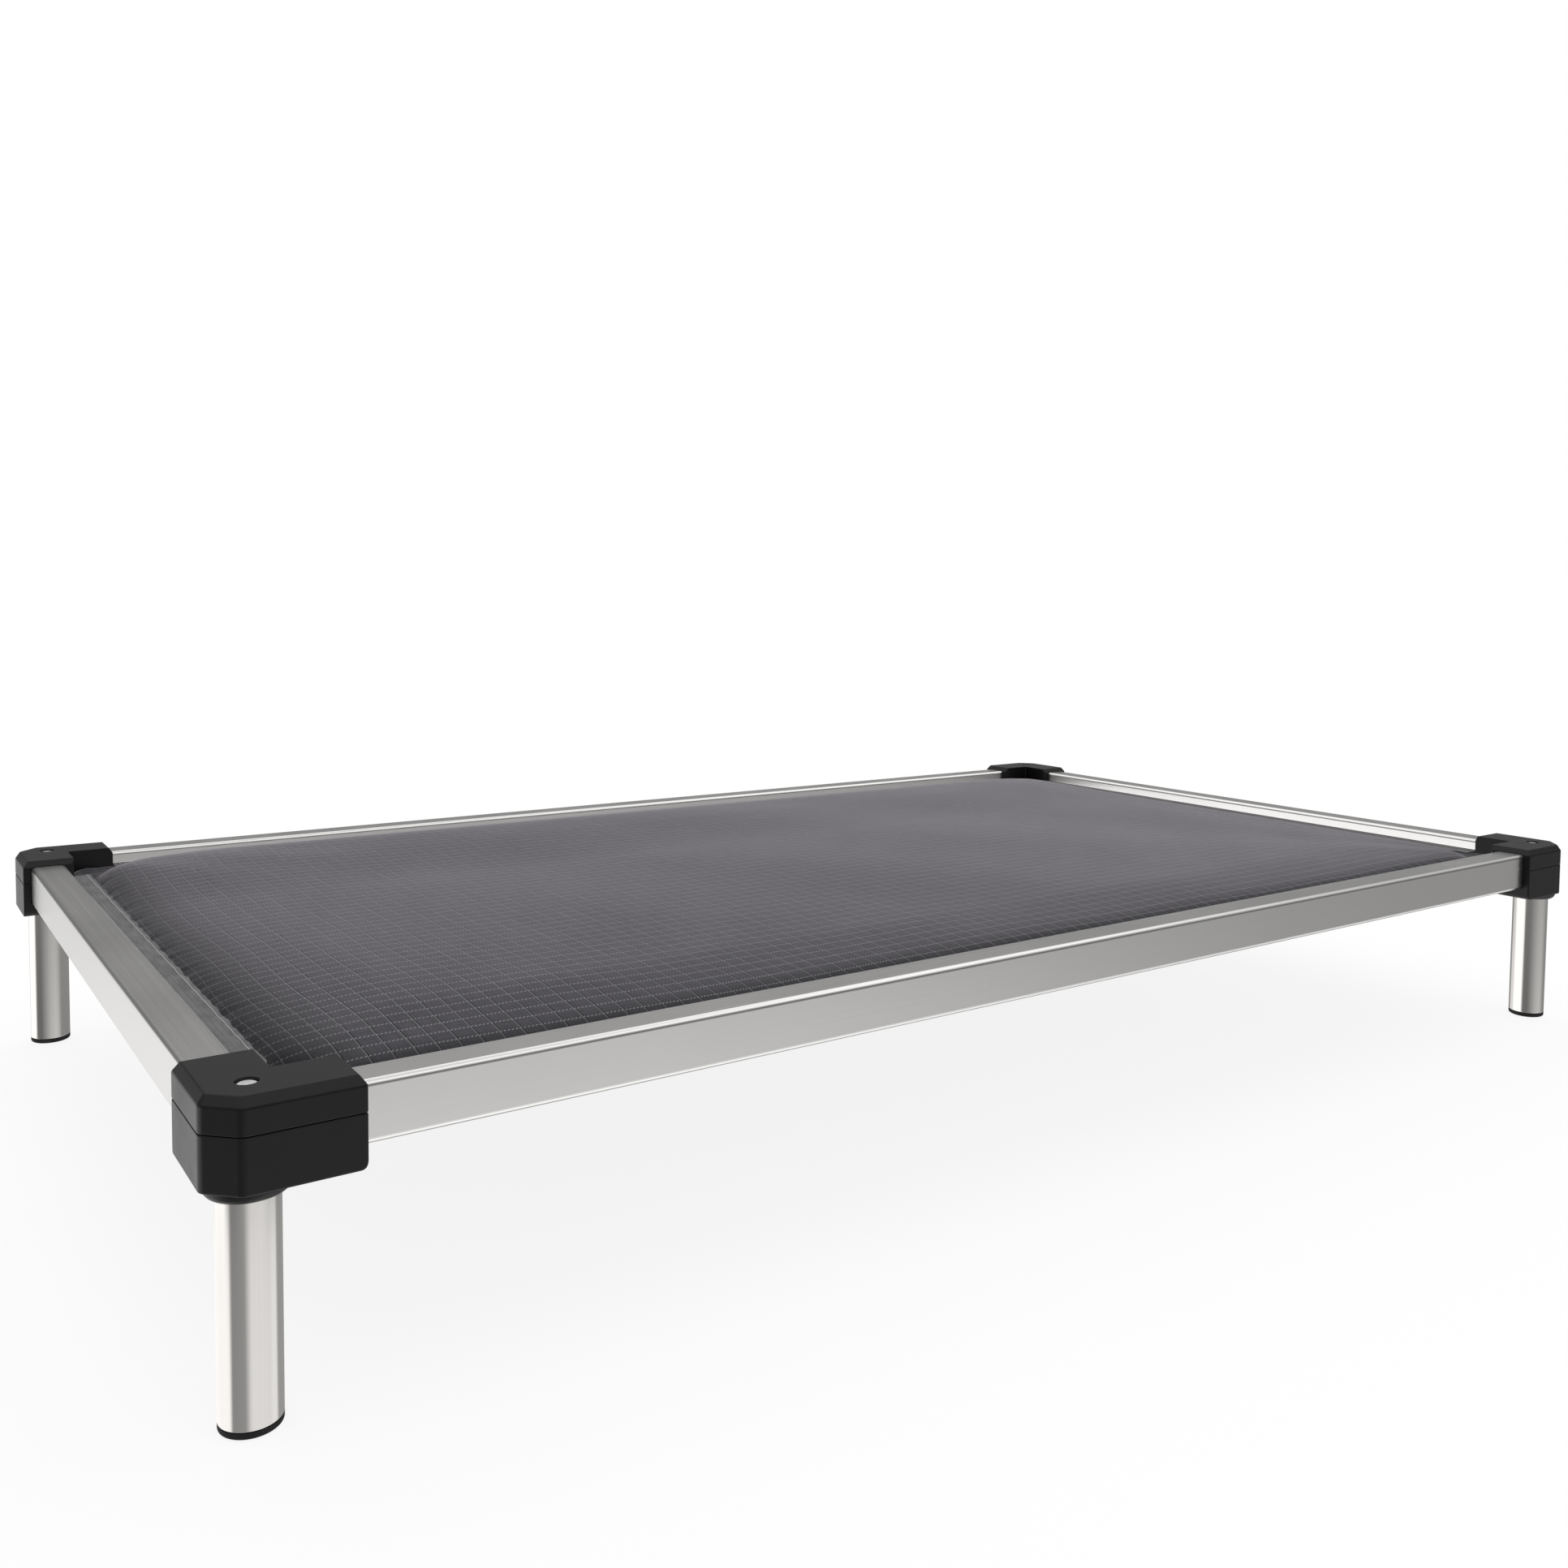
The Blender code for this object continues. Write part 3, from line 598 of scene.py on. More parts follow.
def sewing_thread(name):
    look = Look(name, 0.6, specular=0.4)
    look.set("Sheen Weight", 0.25)
    where = look.place()
    split = look.add("ShaderNodeSeparateXYZ", {"Vector": where})
    twist = look.maths("ADD", split.outputs["X"], split.outputs["Y"])
    strand = look.wave(twist, THREAD_TWIST)
    fuzz = look.noise(where, 1500, 2.0)
    look.feed("Base Color", look.blend(look.span(strand, -1, 1), (0.36, 0.355, 0.365), (0.52, 0.515, 0.525)))
    look.feed("Roughness", look.span(fuzz, 0.3, 0.7, 0.5, 0.7))
    look.bump(strand, 0.05 * MM, 0.7)
    return look.material


# ---------------------------------------------------------------- rails


def rail_mesh(half_frame):
    """A hollow extrusion with rounded edges, and a round channel behind a slot in its inner face."""
    half = half_frame - RAIL_START
    mouth = math.degrees(math.asin(SLOT_HEIGHT / 2 / CHANNEL_RADIUS))
    keyhole = arc(ROD_ACROSS, SEAM_HEIGHT, CHANNEL_RADIUS, 360 - mouth, mouth, 20)
    low, high = SEAM_HEIGHT - SLOT_HEIGHT / 2, SEAM_HEIGHT + SLOT_HEIGHT / 2
    points = [(0, RAIL_BOTTOM), (RAIL_WIDTH, RAIL_BOTTOM), (RAIL_WIDTH, low), *keyhole, (RAIL_WIDTH, high)]
    points += [(RAIL_WIDTH, RAIL_TOP), (0, RAIL_TOP)]
    radii = [RAIL_FILLET, RAIL_FILLET, SLOT_LIP, *[0] * len(keyhole), SLOT_LIP, RAIL_FILLET, RAIL_FILLET]
    outside = rounded(points, radii, 10)
    inner = RAIL_WIDTH - RAIL_WALL
    wall_radius = CHANNEL_RADIUS + RAIL_WALL
    meet = math.degrees(math.acos((inner - ROD_ACROSS) / wall_radius))
    hollow = [(RAIL_WALL, RAIL_TOP - RAIL_WALL), (RAIL_WALL, RAIL_BOTTOM + RAIL_WALL)]
    hollow.append((inner, RAIL_BOTTOM + RAIL_WALL))
    hollow += arc(ROD_ACROSS, SEAM_HEIGHT, wall_radius, 360 - meet, meet, 16)
    hollow.append((inner, RAIL_TOP - RAIL_WALL))
    bm = bmesh.new()
    ends = [[], []]
    for section in (outside, hollow):
        rings = [[bm.verts.new((x, y, z)) for y, z in section] for x in (-half, half)]
        for index in range(len(section)):
            after = (index + 1) % len(section)
            bm.faces.new((rings[0][index], rings[0][after], rings[1][after], rings[1][index]))
            for end, ring in zip(ends, rings):
                end.append(bm.edges.get((ring[index], ring[after])))
    for end in ends:
        bmesh.ops.triangle_fill(bm, use_beauty=True, edges=end)
    return to_mesh(bm)


# ---------------------------------------------------------------- corners


def corner_plan(side, end, inner, web):
    """The plan of a corner, drawn in by some distance at its outer sides, at its arms' ends and inside."""
    proud = CORNER_PROUD - side
    chamfer = CORNER_CHAMFER - side * (2 - math.sqrt(2))
    reach = CORNER_ARM - end
    inside = CORNER_INNER - inner
    outer_edge = max(OUTER_END_EDGE - max(side, end), LEAST_EDGE)
    inner_edge = max((WEB_END_EDGE if web else INNER_END_EDGE) - max(inner, end), LEAST_EDGE)
    half = [(chamfer - proud, -proud), (reach, -proud), (reach, inside)]
    radii = [CORNER_EDGE - side, outer_edge, inner_edge]
    middle = [] if web else [(inside, inside)]
    middle_radii = [] if web else [INNER_CORNER_EDGE + inner]
    points = half + middle + [(y, x) for x, y in reversed(half)]
    return rounded(points, radii + middle_radii + radii[::-1])


def edge_inset(depth, radius):
    """How far a rounded edge of some radius is drawn in at a depth below the face that it meets."""
    left = max(radius - depth, 0)
    return radius - math.sqrt(radius * radius - left * left)


def rail_space():
    """Cutters for the two rails' ends, a gap larger than the rails."""
    near, far = -GAP, RAIL_WIDTH + GAP
    bottom, top = RAIL_BOTTOM - GAP, RAIL_TOP + GAP
    section = rounded([(near, bottom), (far, bottom), (far, top), (near, top)], [RAIL_FILLET + GAP] * 4)
    low, high = RAIL_START - GAP, CORNER_ARM + 2 * CUTTER_SPARE
    along_x = length_prism(section, low, high)
    along_y = lofted([[(x, y, z) for x, z in section] for y in (low, high)])
    return [along_x, along_y]


def core_space():
    """A cutter for the space round the bracket's hub."""
    near = -GAP + 0.6 * MM
    far = RAIL_WIDTH + GAP
    cut = CORNER_CHAMFER - CORNER_PROUD + 3 * MM
    outline = [(cut, near), (RAIL_START, near), (RAIL_START, far), (far, far), (far, RAIL_START)]
    outline += [(near, RAIL_START), (near, cut)]
    return prism(outline, BRACKET_LOW.z - GAP, BRACKET_HIGH.z + GAP)


def stepped_hole(wide, narrow, low, step, steps, x, y):
    """A cutter from below: wide up to the step, and narrow from there up."""
    above = CAP_HIGH.z + CUTTER_SPARE
    profile = [(0, low), (wide, low), (wide, step), (narrow, step), (narrow, above), (0, above)]
    return turned(profile, steps, x, y)


def screw_places():
    return [(SCREW_REACH, SCREW_ACROSS), (SCREW_ACROSS, SCREW_REACH)]


def base_mesh():
    """The lower shell, with a web across its inner corner and a bowl-shaped collar for the leg."""
    bottom = SCREW_LOW.z - GAP
    top = BASE_HIGH.z
    levels = []
    for step in range(EDGE_STEPS + 1):
        angle = math.radians(90 * step / EDGE_STEPS)
        depth = ARM_END_EDGE * (1 - math.cos(angle))
        levels.append((edge_inset(depth, BASE_EDGE), ARM_END_EDGE * (1 - math.sin(angle)), bottom + depth))
    for step in range(EDGE_STEPS, -1, -1):
        depth = SPLIT_EDGE * (1 - math.cos(math.radians(90 * step / EDGE_STEPS)))
        inset = edge_inset(depth, SPLIT_EDGE)
        levels.append((inset, inset, top - depth))
    loops = []
    for side, end, z in levels:
        loops.append([(x, y, z) for x, y in corner_plan(side, end, side, True)])
    spread = COLLAR_RADIUS - COLLAR_FOOT_RADIUS
    depth = bottom - BASE_LOW.z
    bowl = arc(COLLAR_FOOT_RADIUS - COLLAR_LIP, BASE_LOW.z + COLLAR_LIP, COLLAR_LIP, 270, 315, 4)
    bowl += [
        (COLLAR_FOOT_RADIUS + spread * x, BASE_LOW.z + depth * (1 + z))
        for x, z in arc(0, 0, 1, 280, 360, 16)
    ]
    profile = [(0, BASE_LOW.z), *bowl, (COLLAR_RADIUS, bottom + MM), (0, bottom + MM)]
    collar = turned(profile, ROUND_STEPS, LEG_INSET, LEG_INSET)
    below = BASE_LOW.z - CUTTER_SPARE
    leg, bolt = LEG_RADIUS + GAP, BOLT_RADIUS + GAP
    cutters = [core_space(), *rail_space()]
    cutters.append(stepped_hole(leg, bolt, below, SOCKET_TOP, ROUND_STEPS, LEG_INSET, LEG_INSET))
    head_top = bottom + SCREW_HEAD_HEIGHT + 2 * GAP
    for x, y in screw_places():
        cutters.append(stepped_hole(SCREW_HEAD_RADIUS + GAP, SCREW_RADIUS + GAP, below, head_top, 32, x, y))
    return combined(lofted(loops), [collar], cutters)


def cap_mesh():
    """The upper shell: a sloping rim round a flat top, and a recess for the leg bolt's head."""
    low, top = CAP_LOW.z, CAP_HIGH.z
    profile = rounded(
        [
            (SPLIT_EDGE, low),
            (0, low),
            (0, top - CAP_SLOPE_DOWN),
            (CAP_SLOPE_IN, top),
            (CAP_SLOPE_IN + 1.2 * MM, top),
        ],
        [0, SPLIT_EDGE, *SLOPE_SOFTNESS, 0],
        closed=False,
    )
    loops = []
    for inset, z in profile:
        inner = edge_inset(top - z, INNER_EDGE) if top - z < z - low else edge_inset(z - low, SPLIT_EDGE)
        loops.append([(x, y, z) for x, y in corner_plan(inset, inset, inner, False)])
    ledge = WASHER_LOW.z - GAP
    bolt = BOLT_RADIUS + GAP
    wide = RECESS_RADIUS + RECESS_RIM
    recess = [(0, low - CUTTER_SPARE), (bolt, low - CUTTER_SPARE), (bolt, ledge), (RECESS_RADIUS, ledge)]
    recess += [(wide - x, top - RECESS_RIM + z) for x, z in arc(0, 0, RECESS_RIM, 0, 90, 5)]
    recess += [(wide, top + MM), (0, top + MM)]
    cutters = [core_space(), *rail_space()]
    cutters.append(turned(recess, ROUND_STEPS, LEG_INSET, LEG_INSET))
    return combined(lofted(loops), [], cutters)


# ---------------------------------------------------------------- legs and fasteners


def tube_mesh():
    inner = LEG_RADIUS - RAIL_WALL
    points = [(inner, TUBE_LOW.z), (LEG_RADIUS, TUBE_LOW.z), (LEG_RADIUS, TUBE_HIGH.z), (inner, TUBE_HIGH.z)]
    return turned(rounded(points, [TUBE_LIP] * 4, 5))


def foot_mesh():
    """A disc as wide as the tube with a shallow ring underneath, and a ribbed plug inside the tube."""
    plug = LEG_RADIUS - RAIL_WALL - GAP
    core = plug - PLUG_RIB
    height = TUBE_LOW.z - GAP
    ring_in, ring_out = FOOT_RING
    points = [(0, FOOT_HOLLOW), (ring_in, FOOT_HOLLOW), (ring_out, 0), (LEG_RADIUS, 0)]
    points += [(LEG_RADIUS, height), (core, height)]
    radii = [0, 0.3 * MM, 0.2 * MM, 1.4 * MM, 0.25 * MM, 0]
    while height < FOOT_HIGH.z - PLUG_RIB_PITCH:
        points += [(core, height + 0.8 * MM), (plug, height + 1.4 * MM), (core, height + 2.6 * MM)]
        radii += [0, 0, 0]
        height += PLUG_RIB_PITCH
    points += [(core, FOOT_HIGH.z), (0, FOOT_HIGH.z)]
    radii += [0.5 * MM, 0]
    return turned(rounded(points, radii, 5, closed=False))


def bolt_mesh():
    """A low domed head on a plain shank."""
    head = (BOLT_HIGH.x - BOLT_LOW.x) / 2
    under = WASHER_HIGH.z + GAP
    top = BOLT_HIGH.z
    points = [(0, BOLT_LOW.z), (BOLT_RADIUS, BOLT_LOW.z), (BOLT_RADIUS, under), (head, under)]
    points += [(head, top - 0.7 * MM), (head - 1.1 * MM, top - 0.12 * MM), (0, top)]
    radii = [0, 0.6 * MM, 0.2 * MM, 0.2 * MM, 0.5 * MM, 0.6 * MM, 0]
    return turned(rounded(points, radii, 5, closed=False))


def washer_mesh():
    outer = (WASHER_HIGH.x - WASHER_LOW.x) / 2
    inner = BOLT_RADIUS + GAP
    points = [(inner, WASHER_LOW.z), (outer, WASHER_LOW.z), (outer, WASHER_HIGH.z), (inner, WASHER_HIGH.z)]
    return turned(rounded(points, [0.15 * MM] * 4, 3), 64)


def screw_mesh():
    """A pan head with a hexagonal socket, facing down, on a threaded-size shank."""
    low, high = SCREW_LOW.z, SCREW_HIGH.z
    head_top = low + SCREW_HEAD_HEIGHT
    points = [(0, low), (SCREW_HEAD_RADIUS, low), (SCREW_HEAD_RADIUS, head_top), (SCREW_RADIUS, head_top)]
    points += [(SCREW_RADIUS, high - 2 * MM), (0, high)]
    radii = [0, 0.7 * MM, 0.15 * MM, 0.2 * MM, 0.4 * MM, 0]
    body = turned(rounded(points, radii, 4, closed=False), 48)
    radius, depth = SCREW_SOCKET
    socket = prism(circle(0, 0, radius, 6), low - MM, low + depth)
    return combined(body, [], [socket])


# ---------------------------------------------------------------- fabric


def pucker(along, phase):
    """An uneven wave along a seam, from -1 to 1."""
    turns = 2 * np.pi * along
    return sum(size * np.sin(turns / length + share * phase) for size, length, share in PUCKER_WAVES)


def seam_lift(along, depth, phase):
    """How far the seam's puckers lift the cloth at a depth inside the rail."""
    grown = np.clip(depth / TAPE_DEPTH, 0, 1) ** 2
    faded = np.exp(-np.clip(depth - TAPE_DEPTH, 0, None) / PUCKER_FADE)
    return PUCKER_HEIGHT * pucker(along, phase) * grown * faded


def smooth_least(distances, softness):
    """The least of some distances, with the corners between them rounded off."""
    return -softness * np.log(sum(np.exp(-np.clip(d, -0.05, 2) / softness) for d in distances))


def smooth(value):
    value = np.clip(value, 0, 1)
    return value * value * (3 - 2 * value)


def fabric_height(x, y):
    """The height of the panel's middle surface: a flat hem, then a soft roll, then a nearly flat middle."""
    in_x = INNER_X - np.abs(x)
    in_y = INNER_Y - np.abs(y)
    in_corner = (in_x + in_y - FLAT_CORNER) / math.sqrt(2)
    depth = smooth_least((in_x, in_y, in_corner + CORNER_SOFTNESS), CORNER_SOFTNESS)
    past = np.clip(depth - ROLL_START, 0, None)
    leftward = 1 - 0.3 * x / INNER_X
    back = smooth((y / INNER_Y - 0.3) / 0.6) * leftward * (0.5 + 0.5 * smooth(in_x / (120 * MM)))
    right = smooth((x / INNER_X - 0.6) / 0.35)
    raised = ROLL_HEIGHT + BACK_RAISE * back + RIGHT_RAISE * right * (1 - back)
    roll = raised * (1 - np.exp(-past / (ROLL_REACH + (BACK_REACH - ROLL_REACH) * back)))
    swell = SWELL_HEIGHT * smooth(past / SWELL_REACH) * leftward * (1 - 0.8 * back - 0.3 * right)
    drift = 0
    for size, per_x, per_y, phase in DRIFT_WAVES:
        drift = drift + size * np.sin(2 * np.pi * (per_x * x + per_y * y) + phase)
    height = SEAM_HEIGHT + roll + swell + drift * smooth(past / DRIFT_REACH)
    for side_x, side_y in QUADRANTS:
        away_x = INNER_X - side_x * x
        away_y = INNER_Y - side_y * y
        reach = np.hypot(away_x, away_y) / PULL_REACH
        angle = np.arctan2(away_y, away_x)
        pull = np.sin(13 * angle + side_x + 2 * side_y) * np.sin(2 * angle) ** 2
        height += PULL_HEIGHT * reach * np.exp(1 - reach) * pull * smooth(past / PULL_START)
    height += seam_lift(x, in_y, PHASES["front"]) * (y < 0) + seam_lift(-x, in_y, PHASES["back"]) * (y >= 0)
    height += seam_lift(-y, in_x, PHASES["left"]) * (x < 0) + seam_lift(y, in_x, PHASES["right"]) * (x >= 0)
    return height


def graded(half, fine, coarse, border):
    """Coordinates from -half to half: a fine step within a border of each end, and a coarse one between."""
    edge = np.arange(0, border, fine)
    count = max(round(2 * (half - border) / coarse), 1)
    middle = np.linspace(-half + border, half - border, count + 1)
    return np.concatenate([-half + edge, middle, (half - edge)[::-1]])


def fabric_mesh():
    xs = graded(INNER_X - PANEL_INSET, FINE_STEP, COARSE_STEP, FINE_BORDER)
    ys = graded(INNER_Y - PANEL_INSET, FINE_STEP, COARSE_STEP, FINE_BORDER)
    grid_x, grid_y = np.meshgrid(xs, ys, indexing="ij")
    heights = fabric_height(grid_x, grid_y)
    bm = bmesh.new()
    rows = []
    for row in zip(grid_x, grid_y, heights):
        rows.append([bm.verts.new(point) for point in zip(*row)])
    for left, right in zip(rows, rows[1:]):
        for index in range(len(left) - 1):
            bm.faces.new((left[index], right[index], right[index + 1], left[index + 1]))
    for side_x, side_y in QUADRANTS:
        spot = (side_x * (INNER_X - CORNER_CUT / 2), side_y * (INNER_Y - CORNER_CUT / 2), 0)
        away = (side_x, side_y, 0)
        everything = bm.verts[:] + bm.edges[:] + bm.faces[:]
        bmesh.ops.bisect_plane(bm, geom=everything, plane_co=spot, plane_no=away, clear_outer=True)
    mesh = bpy.data.meshes.new("fabric")
    bm.to_mesh(mesh)
    bm.free()
    return mesh


def tape_mesh(half_frame, phase):
    """A tape folded round the rod in the rail's channel, with a ply above and a ply below the panel."""
    half = half_frame - CORNER_ARM - TAPE_END_GAP
    inner_height = FABRIC_THICKNESS / 2 + GAP
    outer_height = inner_height + TAPE_THICKNESS
    inner_radius = ROD_RADIUS + GAP
    outer_radius = inner_radius + TAPE_THICKNESS
    outside = math.degrees(math.asin(outer_height / outer_radius))
    inside = math.degrees(math.asin(inner_height / inner_radius))
    plies = np.linspace(TAPE_END, RAIL_WIDTH, 6)
    section = [(y, outer_height) for y in plies]
    section += arc(ROD_ACROSS, 0, outer_radius, outside, 360 - outside, 16)
    section += [(y, -outer_height) for y in plies[::-1]]
    section += [(y, -inner_height) for y in plies]
    section += arc(ROD_ACROSS, 0, inner_radius, 360 - inside, inside, 16)
    section += [(y, inner_height) for y in plies[::-1]]
    section = np.array(section)
    depth = np.clip(section[:, 0] - RAIL_WIDTH, 0, None)
    loops = []
    for along in np.linspace(-half, half, round(2 * half / TAPE_STEP) + 1):
        across = section[:, 0] + PUCKER_ACROSS * pucker(1.37 * along, phase + 1) * depth / TAPE_DEPTH
        height = SEAM_HEIGHT + section[:, 1] + seam_lift(along, depth, phase)
        loops.append([(along, y, z) for y, z in zip(across, height)])
    return lofted(loops)


def stitch_rows(half_frame, phase):
    """Two rows of stitches on each face of a tape, as short threads that dip in at both ends."""
    half = half_frame - CORNER_ARM - STITCH_END_GAP
    surface = FABRIC_THICKNESS / 2 + GAP + TAPE_THICKNESS
    bm = bmesh.new()
    for depth in STITCH_DEPTHS:
        for side in (-1, 1):
            for along in np.arange(-half, half, STITCH_PITCH):
                rings = []
                for share in (-0.5, -0.3, 0.0, 0.3, 0.5):
                    spot = along + share * STITCH_LENGTH
                    thick = THREAD_RADIUS * (1 - 1.6 * share * share)
                    proud = side * (surface + thick * (0.75 - 5 * share * share))
                    lift = seam_lift(spot, depth, phase) + proud
                    across = RAIL_WIDTH + depth + STITCH_SKEW * share * side
                    ring = circle(across, SEAM_HEIGHT + lift, thick, THREAD_SIDES)
                    rings.append([bm.verts.new((spot, y, z)) for y, z in ring])
                for lower, upper in zip(rings, rings[1:]):
                    for index in range(THREAD_SIDES):
                        after = (index + 1) % THREAD_SIDES
                        bm.faces.new((lower[index], upper[index], upper[after], lower[after]))
                bm.faces.new(rings[0])
                bm.faces.new(rings[-1][::-1])
    bmesh.ops.recalc_face_normals(bm, faces=bm.faces)
    mesh = bpy.data.meshes.new("stitches")
    bm.to_mesh(mesh)
    bm.free()
    return mesh


# ---------------------------------------------------------------- the bed


def build_rails():
    finish = satin_aluminium("rail_aluminium", "X", 1400, 0.25, (0.865, 0.855, 0.840))
    for kind, side, x, y, turn, half_frame in SIDES:
        place = turned_place(x, y, turn)
        nodes = [f"{kind}_rail_{side}"]
        piece(f"rail_{side}", rail_mesh(half_frame), finish, nodes, place)


def build_corners():
    plastic = moulded_plastic("corner_plastic")
    tube_finish = satin_aluminium("leg_aluminium", "Z", 900, 0.14, (0.890, 0.865, 0.835))
    steel = turned_steel("fastener_steel")
    sole = rubber("foot_rubber")
    shells = (("base", base_mesh()), ("cap", cap_mesh()))
    round_parts = (
        ("tube", "leg_tube", tube_mesh(), tube_finish, "leg_aluminium"),
        ("rubber_foot", "foot", foot_mesh(), sole, "foot_rubber"),
        ("bolt", "leg_bolt", bolt_mesh(), steel, "fastener_steel"),
        ("washer", "bolt_washer", washer_mesh(), steel, "fastener_steel"),
    )
    screw = screw_mesh()
    for corner, x, y, turn in CORNERS:
        place = turned_place(x, y, turn)
        for name, mesh in shells:
            piece(f"{name}_{corner}", mesh, plastic, [f"corner_{name}_{corner}"], place)
        axis = place @ Matrix.Translation((LEG_INSET, LEG_INSET, 0))
        for name, node, mesh, finish, slot in round_parts:
            piece(f"{name}_{corner}", mesh, finish, [f"{node}_{corner}"], axis)
        rails = ("long", "short") if turn in (0, 180) else ("short", "long")
        for kind, spot in zip(rails, screw_places()):
            where = place @ Matrix.Translation((*spot, 0))
            node = f"{kind}_rail_screw_{corner}"
            piece(f"{kind}_screw_{corner}", screw, steel, [node], where)


def build_fabric():
    cloth = ripstop_cloth("sleeping_fabric")
    binding = hem_tape("edge_tape")
    thread = sewing_thread("tape_thread")
    for _, side, x, y, turn, half_frame in SIDES:
        place = turned_place(x, y, turn)
        phase = PHASES[side]
        shape = tape_mesh(half_frame, phase)
        tape = piece(f"tape_{side}", shape, binding, [f"edge_tape_{side}"], place)
        shape = stitch_rows(half_frame, phase)
        stitches = piece(f"stitches_{side}", shape, thread, (), place, False)
        # The rails mirror the studio alone.
        tape.visible_glossy = stitches.visible_glossy = False
    shape = fabric_mesh()
    panel = piece("fabric_panel", shape, cloth, ["sleeping_fabric"], flat_faces=False)
    panel.visible_glossy = False
    thickness = panel.modifiers.new("thickness", "SOLIDIFY")
    thickness.thickness = FABRIC_THICKNESS
    thickness.offset = 0


def finish_hidden_parts():
    looks = (
        ("corner_bracket", cast_metal("bracket_metal")),
        ("leg_insert", turned_steel("insert_steel")),
        ("keder_rod", rod_plastic("keder_plastic")),
    )
    for name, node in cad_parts.items():
        for start, look in looks:
            if name.startswith(start):
                node.data.materials.clear()
                node.data.materials.append(look)


# ---------------------------------------------------------------- the studio


def build_floor():
    """A pale floor that mostly glows, so that only a faint share of the bed's shade shows on it."""
    bm = bmesh.new()
    bmesh.ops.create_grid(bm, x_segments=1, y_segments=1, size=20)
    mesh = bpy.data.meshes.new("floor")
    bm.to_mesh(mesh)
    bm.free()
    floor = bpy.data.objects.new("floor", mesh)
    floor.location = (0, 0, -0.2 * MM)
    bpy.context.scene.collection.objects.link(floor)
    floor.visible_glossy = False
    material = bpy.data.materials.new("floor")
    material.use_nodes = True
    material.node_tree.nodes.clear()
    nodes = Nodes(material.node_tree)
    glow = nodes.add("ShaderNodeEmission", {"Color": (1.02, 1.02, 1.02, 1)})
    matt = nodes.add("ShaderNodeBsdfDiffuse", {"Color": (0.9, 0.9, 0.9, 1)})
    nodes.add("ShaderNodeOutputMaterial", {"Surface": nodes.mixed(FLOOR_SHADE, glow, matt)})
    mesh.materials.append(material)


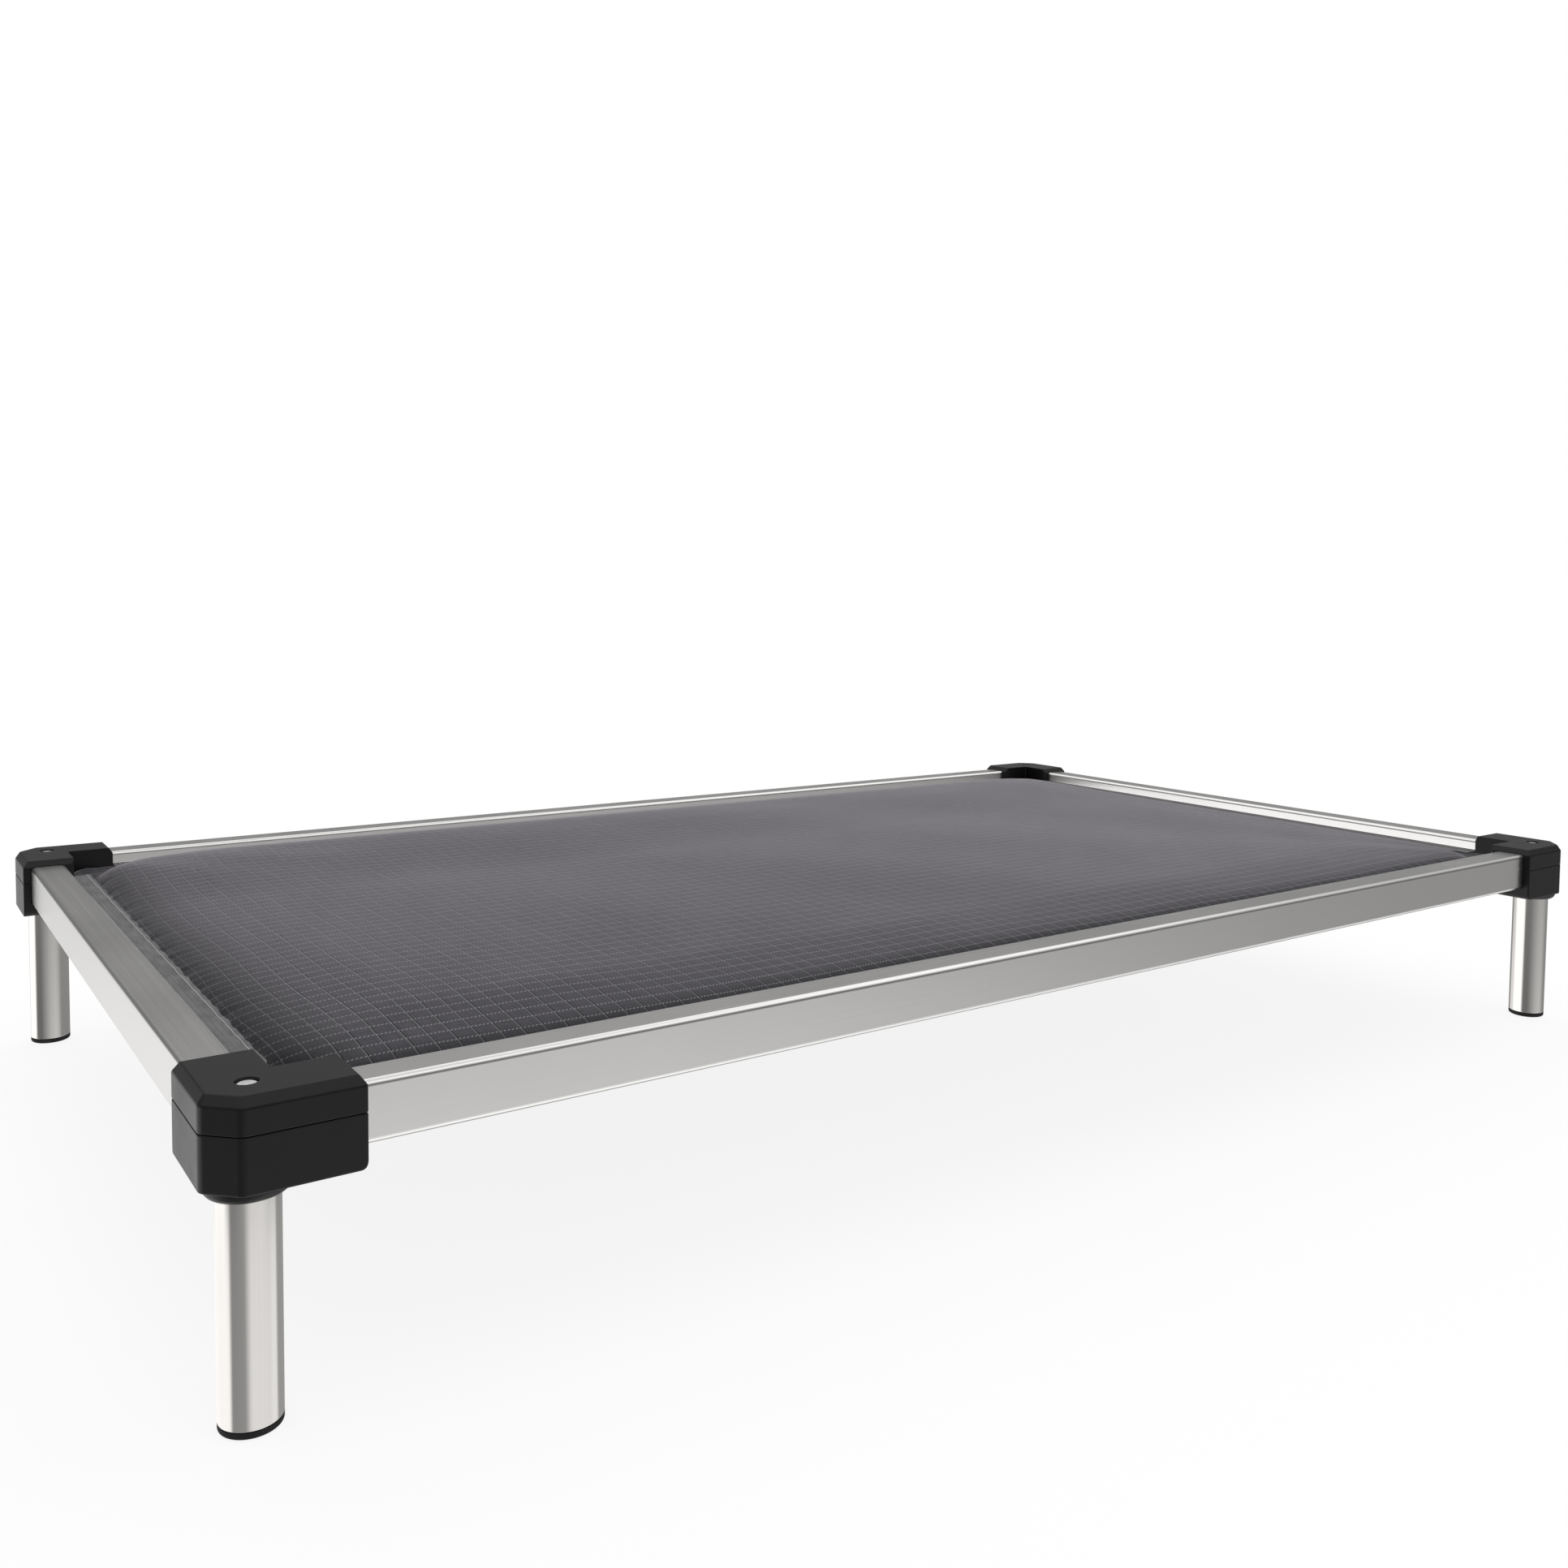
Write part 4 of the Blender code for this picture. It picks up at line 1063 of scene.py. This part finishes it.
def build_studio():
    """A white studio: what metal mirrors is banded by direction, and everything else gets soft light."""
    world = bpy.data.worlds.new("studio")
    bpy.context.scene.world = world
    world.use_nodes = True
    world.node_tree.nodes.clear()
    sky = Nodes(world.node_tree)
    direction = sky.add("ShaderNodeTexCoord").outputs["Generated"]
    x, y, z = sky.add("ShaderNodeSeparateXYZ", {0: direction}).outputs
    azimuth = sky.maths("ADD", sky.maths("DIVIDE", sky.maths("ARCTAN2", x, y), 2 * math.pi), 0.5)
    elevation = sky.maths("ADD", sky.maths("DIVIDE", sky.maths("ARCSINE", z), math.pi), 0.5)

    def at(degrees):
        return (degrees + 180) / 360

    def up(degrees):
        return (degrees + 90) / 180

    # What metal mirrors by azimuth: four bands from the horizon down to steeply below, and one above it.
    level = sky.ramp(azimuth, [
        (at(-180), 0.36), (at(-122), 0.20), (at(-92), 0.20), (at(-84), 1.20), (at(-26), 1.20),
        (at(-14), 0.64), (at(6), 0.64), (at(14), 0.30), (at(112), 0.28), (at(150), 0.38),
    ])
    low = sky.ramp(azimuth, [
        (at(-180), 0.54), (at(-150), 0.34), (at(-122), 0.14), (at(-90), 0.14), (at(-79), 1.20),
        (at(-26), 1.20), (at(-14), 0.82), (at(10), 0.92), (at(22), 0.26), (at(112), 0.25),
        (at(120), 0.28), (at(132), 0.45), (at(146), 0.60), (at(160), 0.60), (at(172), 0.54),
    ])
    deep = sky.ramp(azimuth, [
        (at(-180), 0.80), (at(-170), 0.78), (at(-150), 0.30), (at(-104), 0.27), (at(-92), 1.08),
        (at(13), 1.08), (at(20), 0.34), (at(84), 0.34), (at(94), 0.86), (at(112), 0.86), (at(122), 0.78),
        (at(150), 0.80),
    ])
    deepest = sky.ramp(azimuth, [
        (at(-180), 0.60), (at(-150), 0.35), (at(-60), 0.35), (at(-40), 1.20), (at(15), 1.20), (at(30), 0.45),
        (at(80), 0.45), (at(100), 1.20), (at(150), 1.20), (at(170), 0.70),
    ])
    high = sky.ramp(azimuth, [
        (at(-180), 0.10), (at(-110), 0.14), (at(-40), 0.16), (at(4), 0.15), (at(20), 0.21), (at(64), 0.21),
        (at(110), 0.14), (at(150), 0.10),
    ])
    overhead = sky.ramp(elevation, [(up(18), 0.0), (up(26), 0.30), (up(36), 0.35), (up(42), 1.0)])
    near_level = sky.ramp(elevation, [(up(-16.5), 0.0), (up(-10), 1.0)])
    near_low = sky.ramp(elevation, [(up(-24), 0.0), (up(-20), 1.0)])
    below = sky.ramp(elevation, [(up(-46), 1.0), (up(-40), 0.0)])
    above = sky.ramp(elevation, [(up(-1.5), 0.0), (up(1.5), 1.0)])
    under = sky.blend(near_low, sky.blend(below, deep, deepest), sky.blend(near_level, low, level))
    zenith = sky.ramp(elevation, [(up(52), 1.2), (up(66), 0.72), (up(90), 0.66)])
    mirrored = sky.blend(above, under, sky.blend(overhead, high, zenith))
    side = sky.ramp(azimuth, [
        (at(-180), 0.80), (at(-140), 0.36), (at(-50), 0.36), (at(-5), 1.40), (at(50), 1.55), (at(90), 1.05),
        (at(130), 0.85), (at(179), 0.80),
    ])
    soft = sky.blend(sky.ramp(elevation, [(up(20), 0.0), (up(75), 1.0)]), side, STUDIO_WHITE)

    path = sky.add("ShaderNodeLightPath").outputs
    plain = sky.add("ShaderNodeBackground", {"Color": (1, 1, 1, 1)})
    lit = sky.add("ShaderNodeBackground", {"Color": sky.blend(path["Is Glossy Ray"], soft, mirrored)})
    sky.add("ShaderNodeOutputWorld", {"Surface": sky.mixed(path["Is Camera Ray"], lit, plain)})


def build_camera():
    data = bpy.data.cameras.new("camera")
    data.sensor_width = 36
    data.lens = CAMERA_LENS
    data.shift_x, data.shift_y = CAMERA_SHIFT
    data.clip_start = 0.02
    camera = bpy.data.objects.new("camera", data)
    heading = Matrix.Rotation(math.radians(-CAMERA_AZIMUTH), 4, "Z")
    tilt = Matrix.Rotation(math.radians(90 - CAMERA_DOWN), 4, "X")
    roll = Matrix.Rotation(math.radians(CAMERA_ROLL), 4, "Z")
    camera.matrix_world = Matrix.Translation(CAMERA_PLACE) @ heading @ tilt @ roll
    bpy.context.scene.collection.objects.link(camera)
    bpy.context.scene.camera = camera


build_camera()
build_rails()
build_corners()
build_fabric()
finish_hidden_parts()
build_floor()
build_studio()
bpy.context.scene.view_settings.view_transform = "Standard"
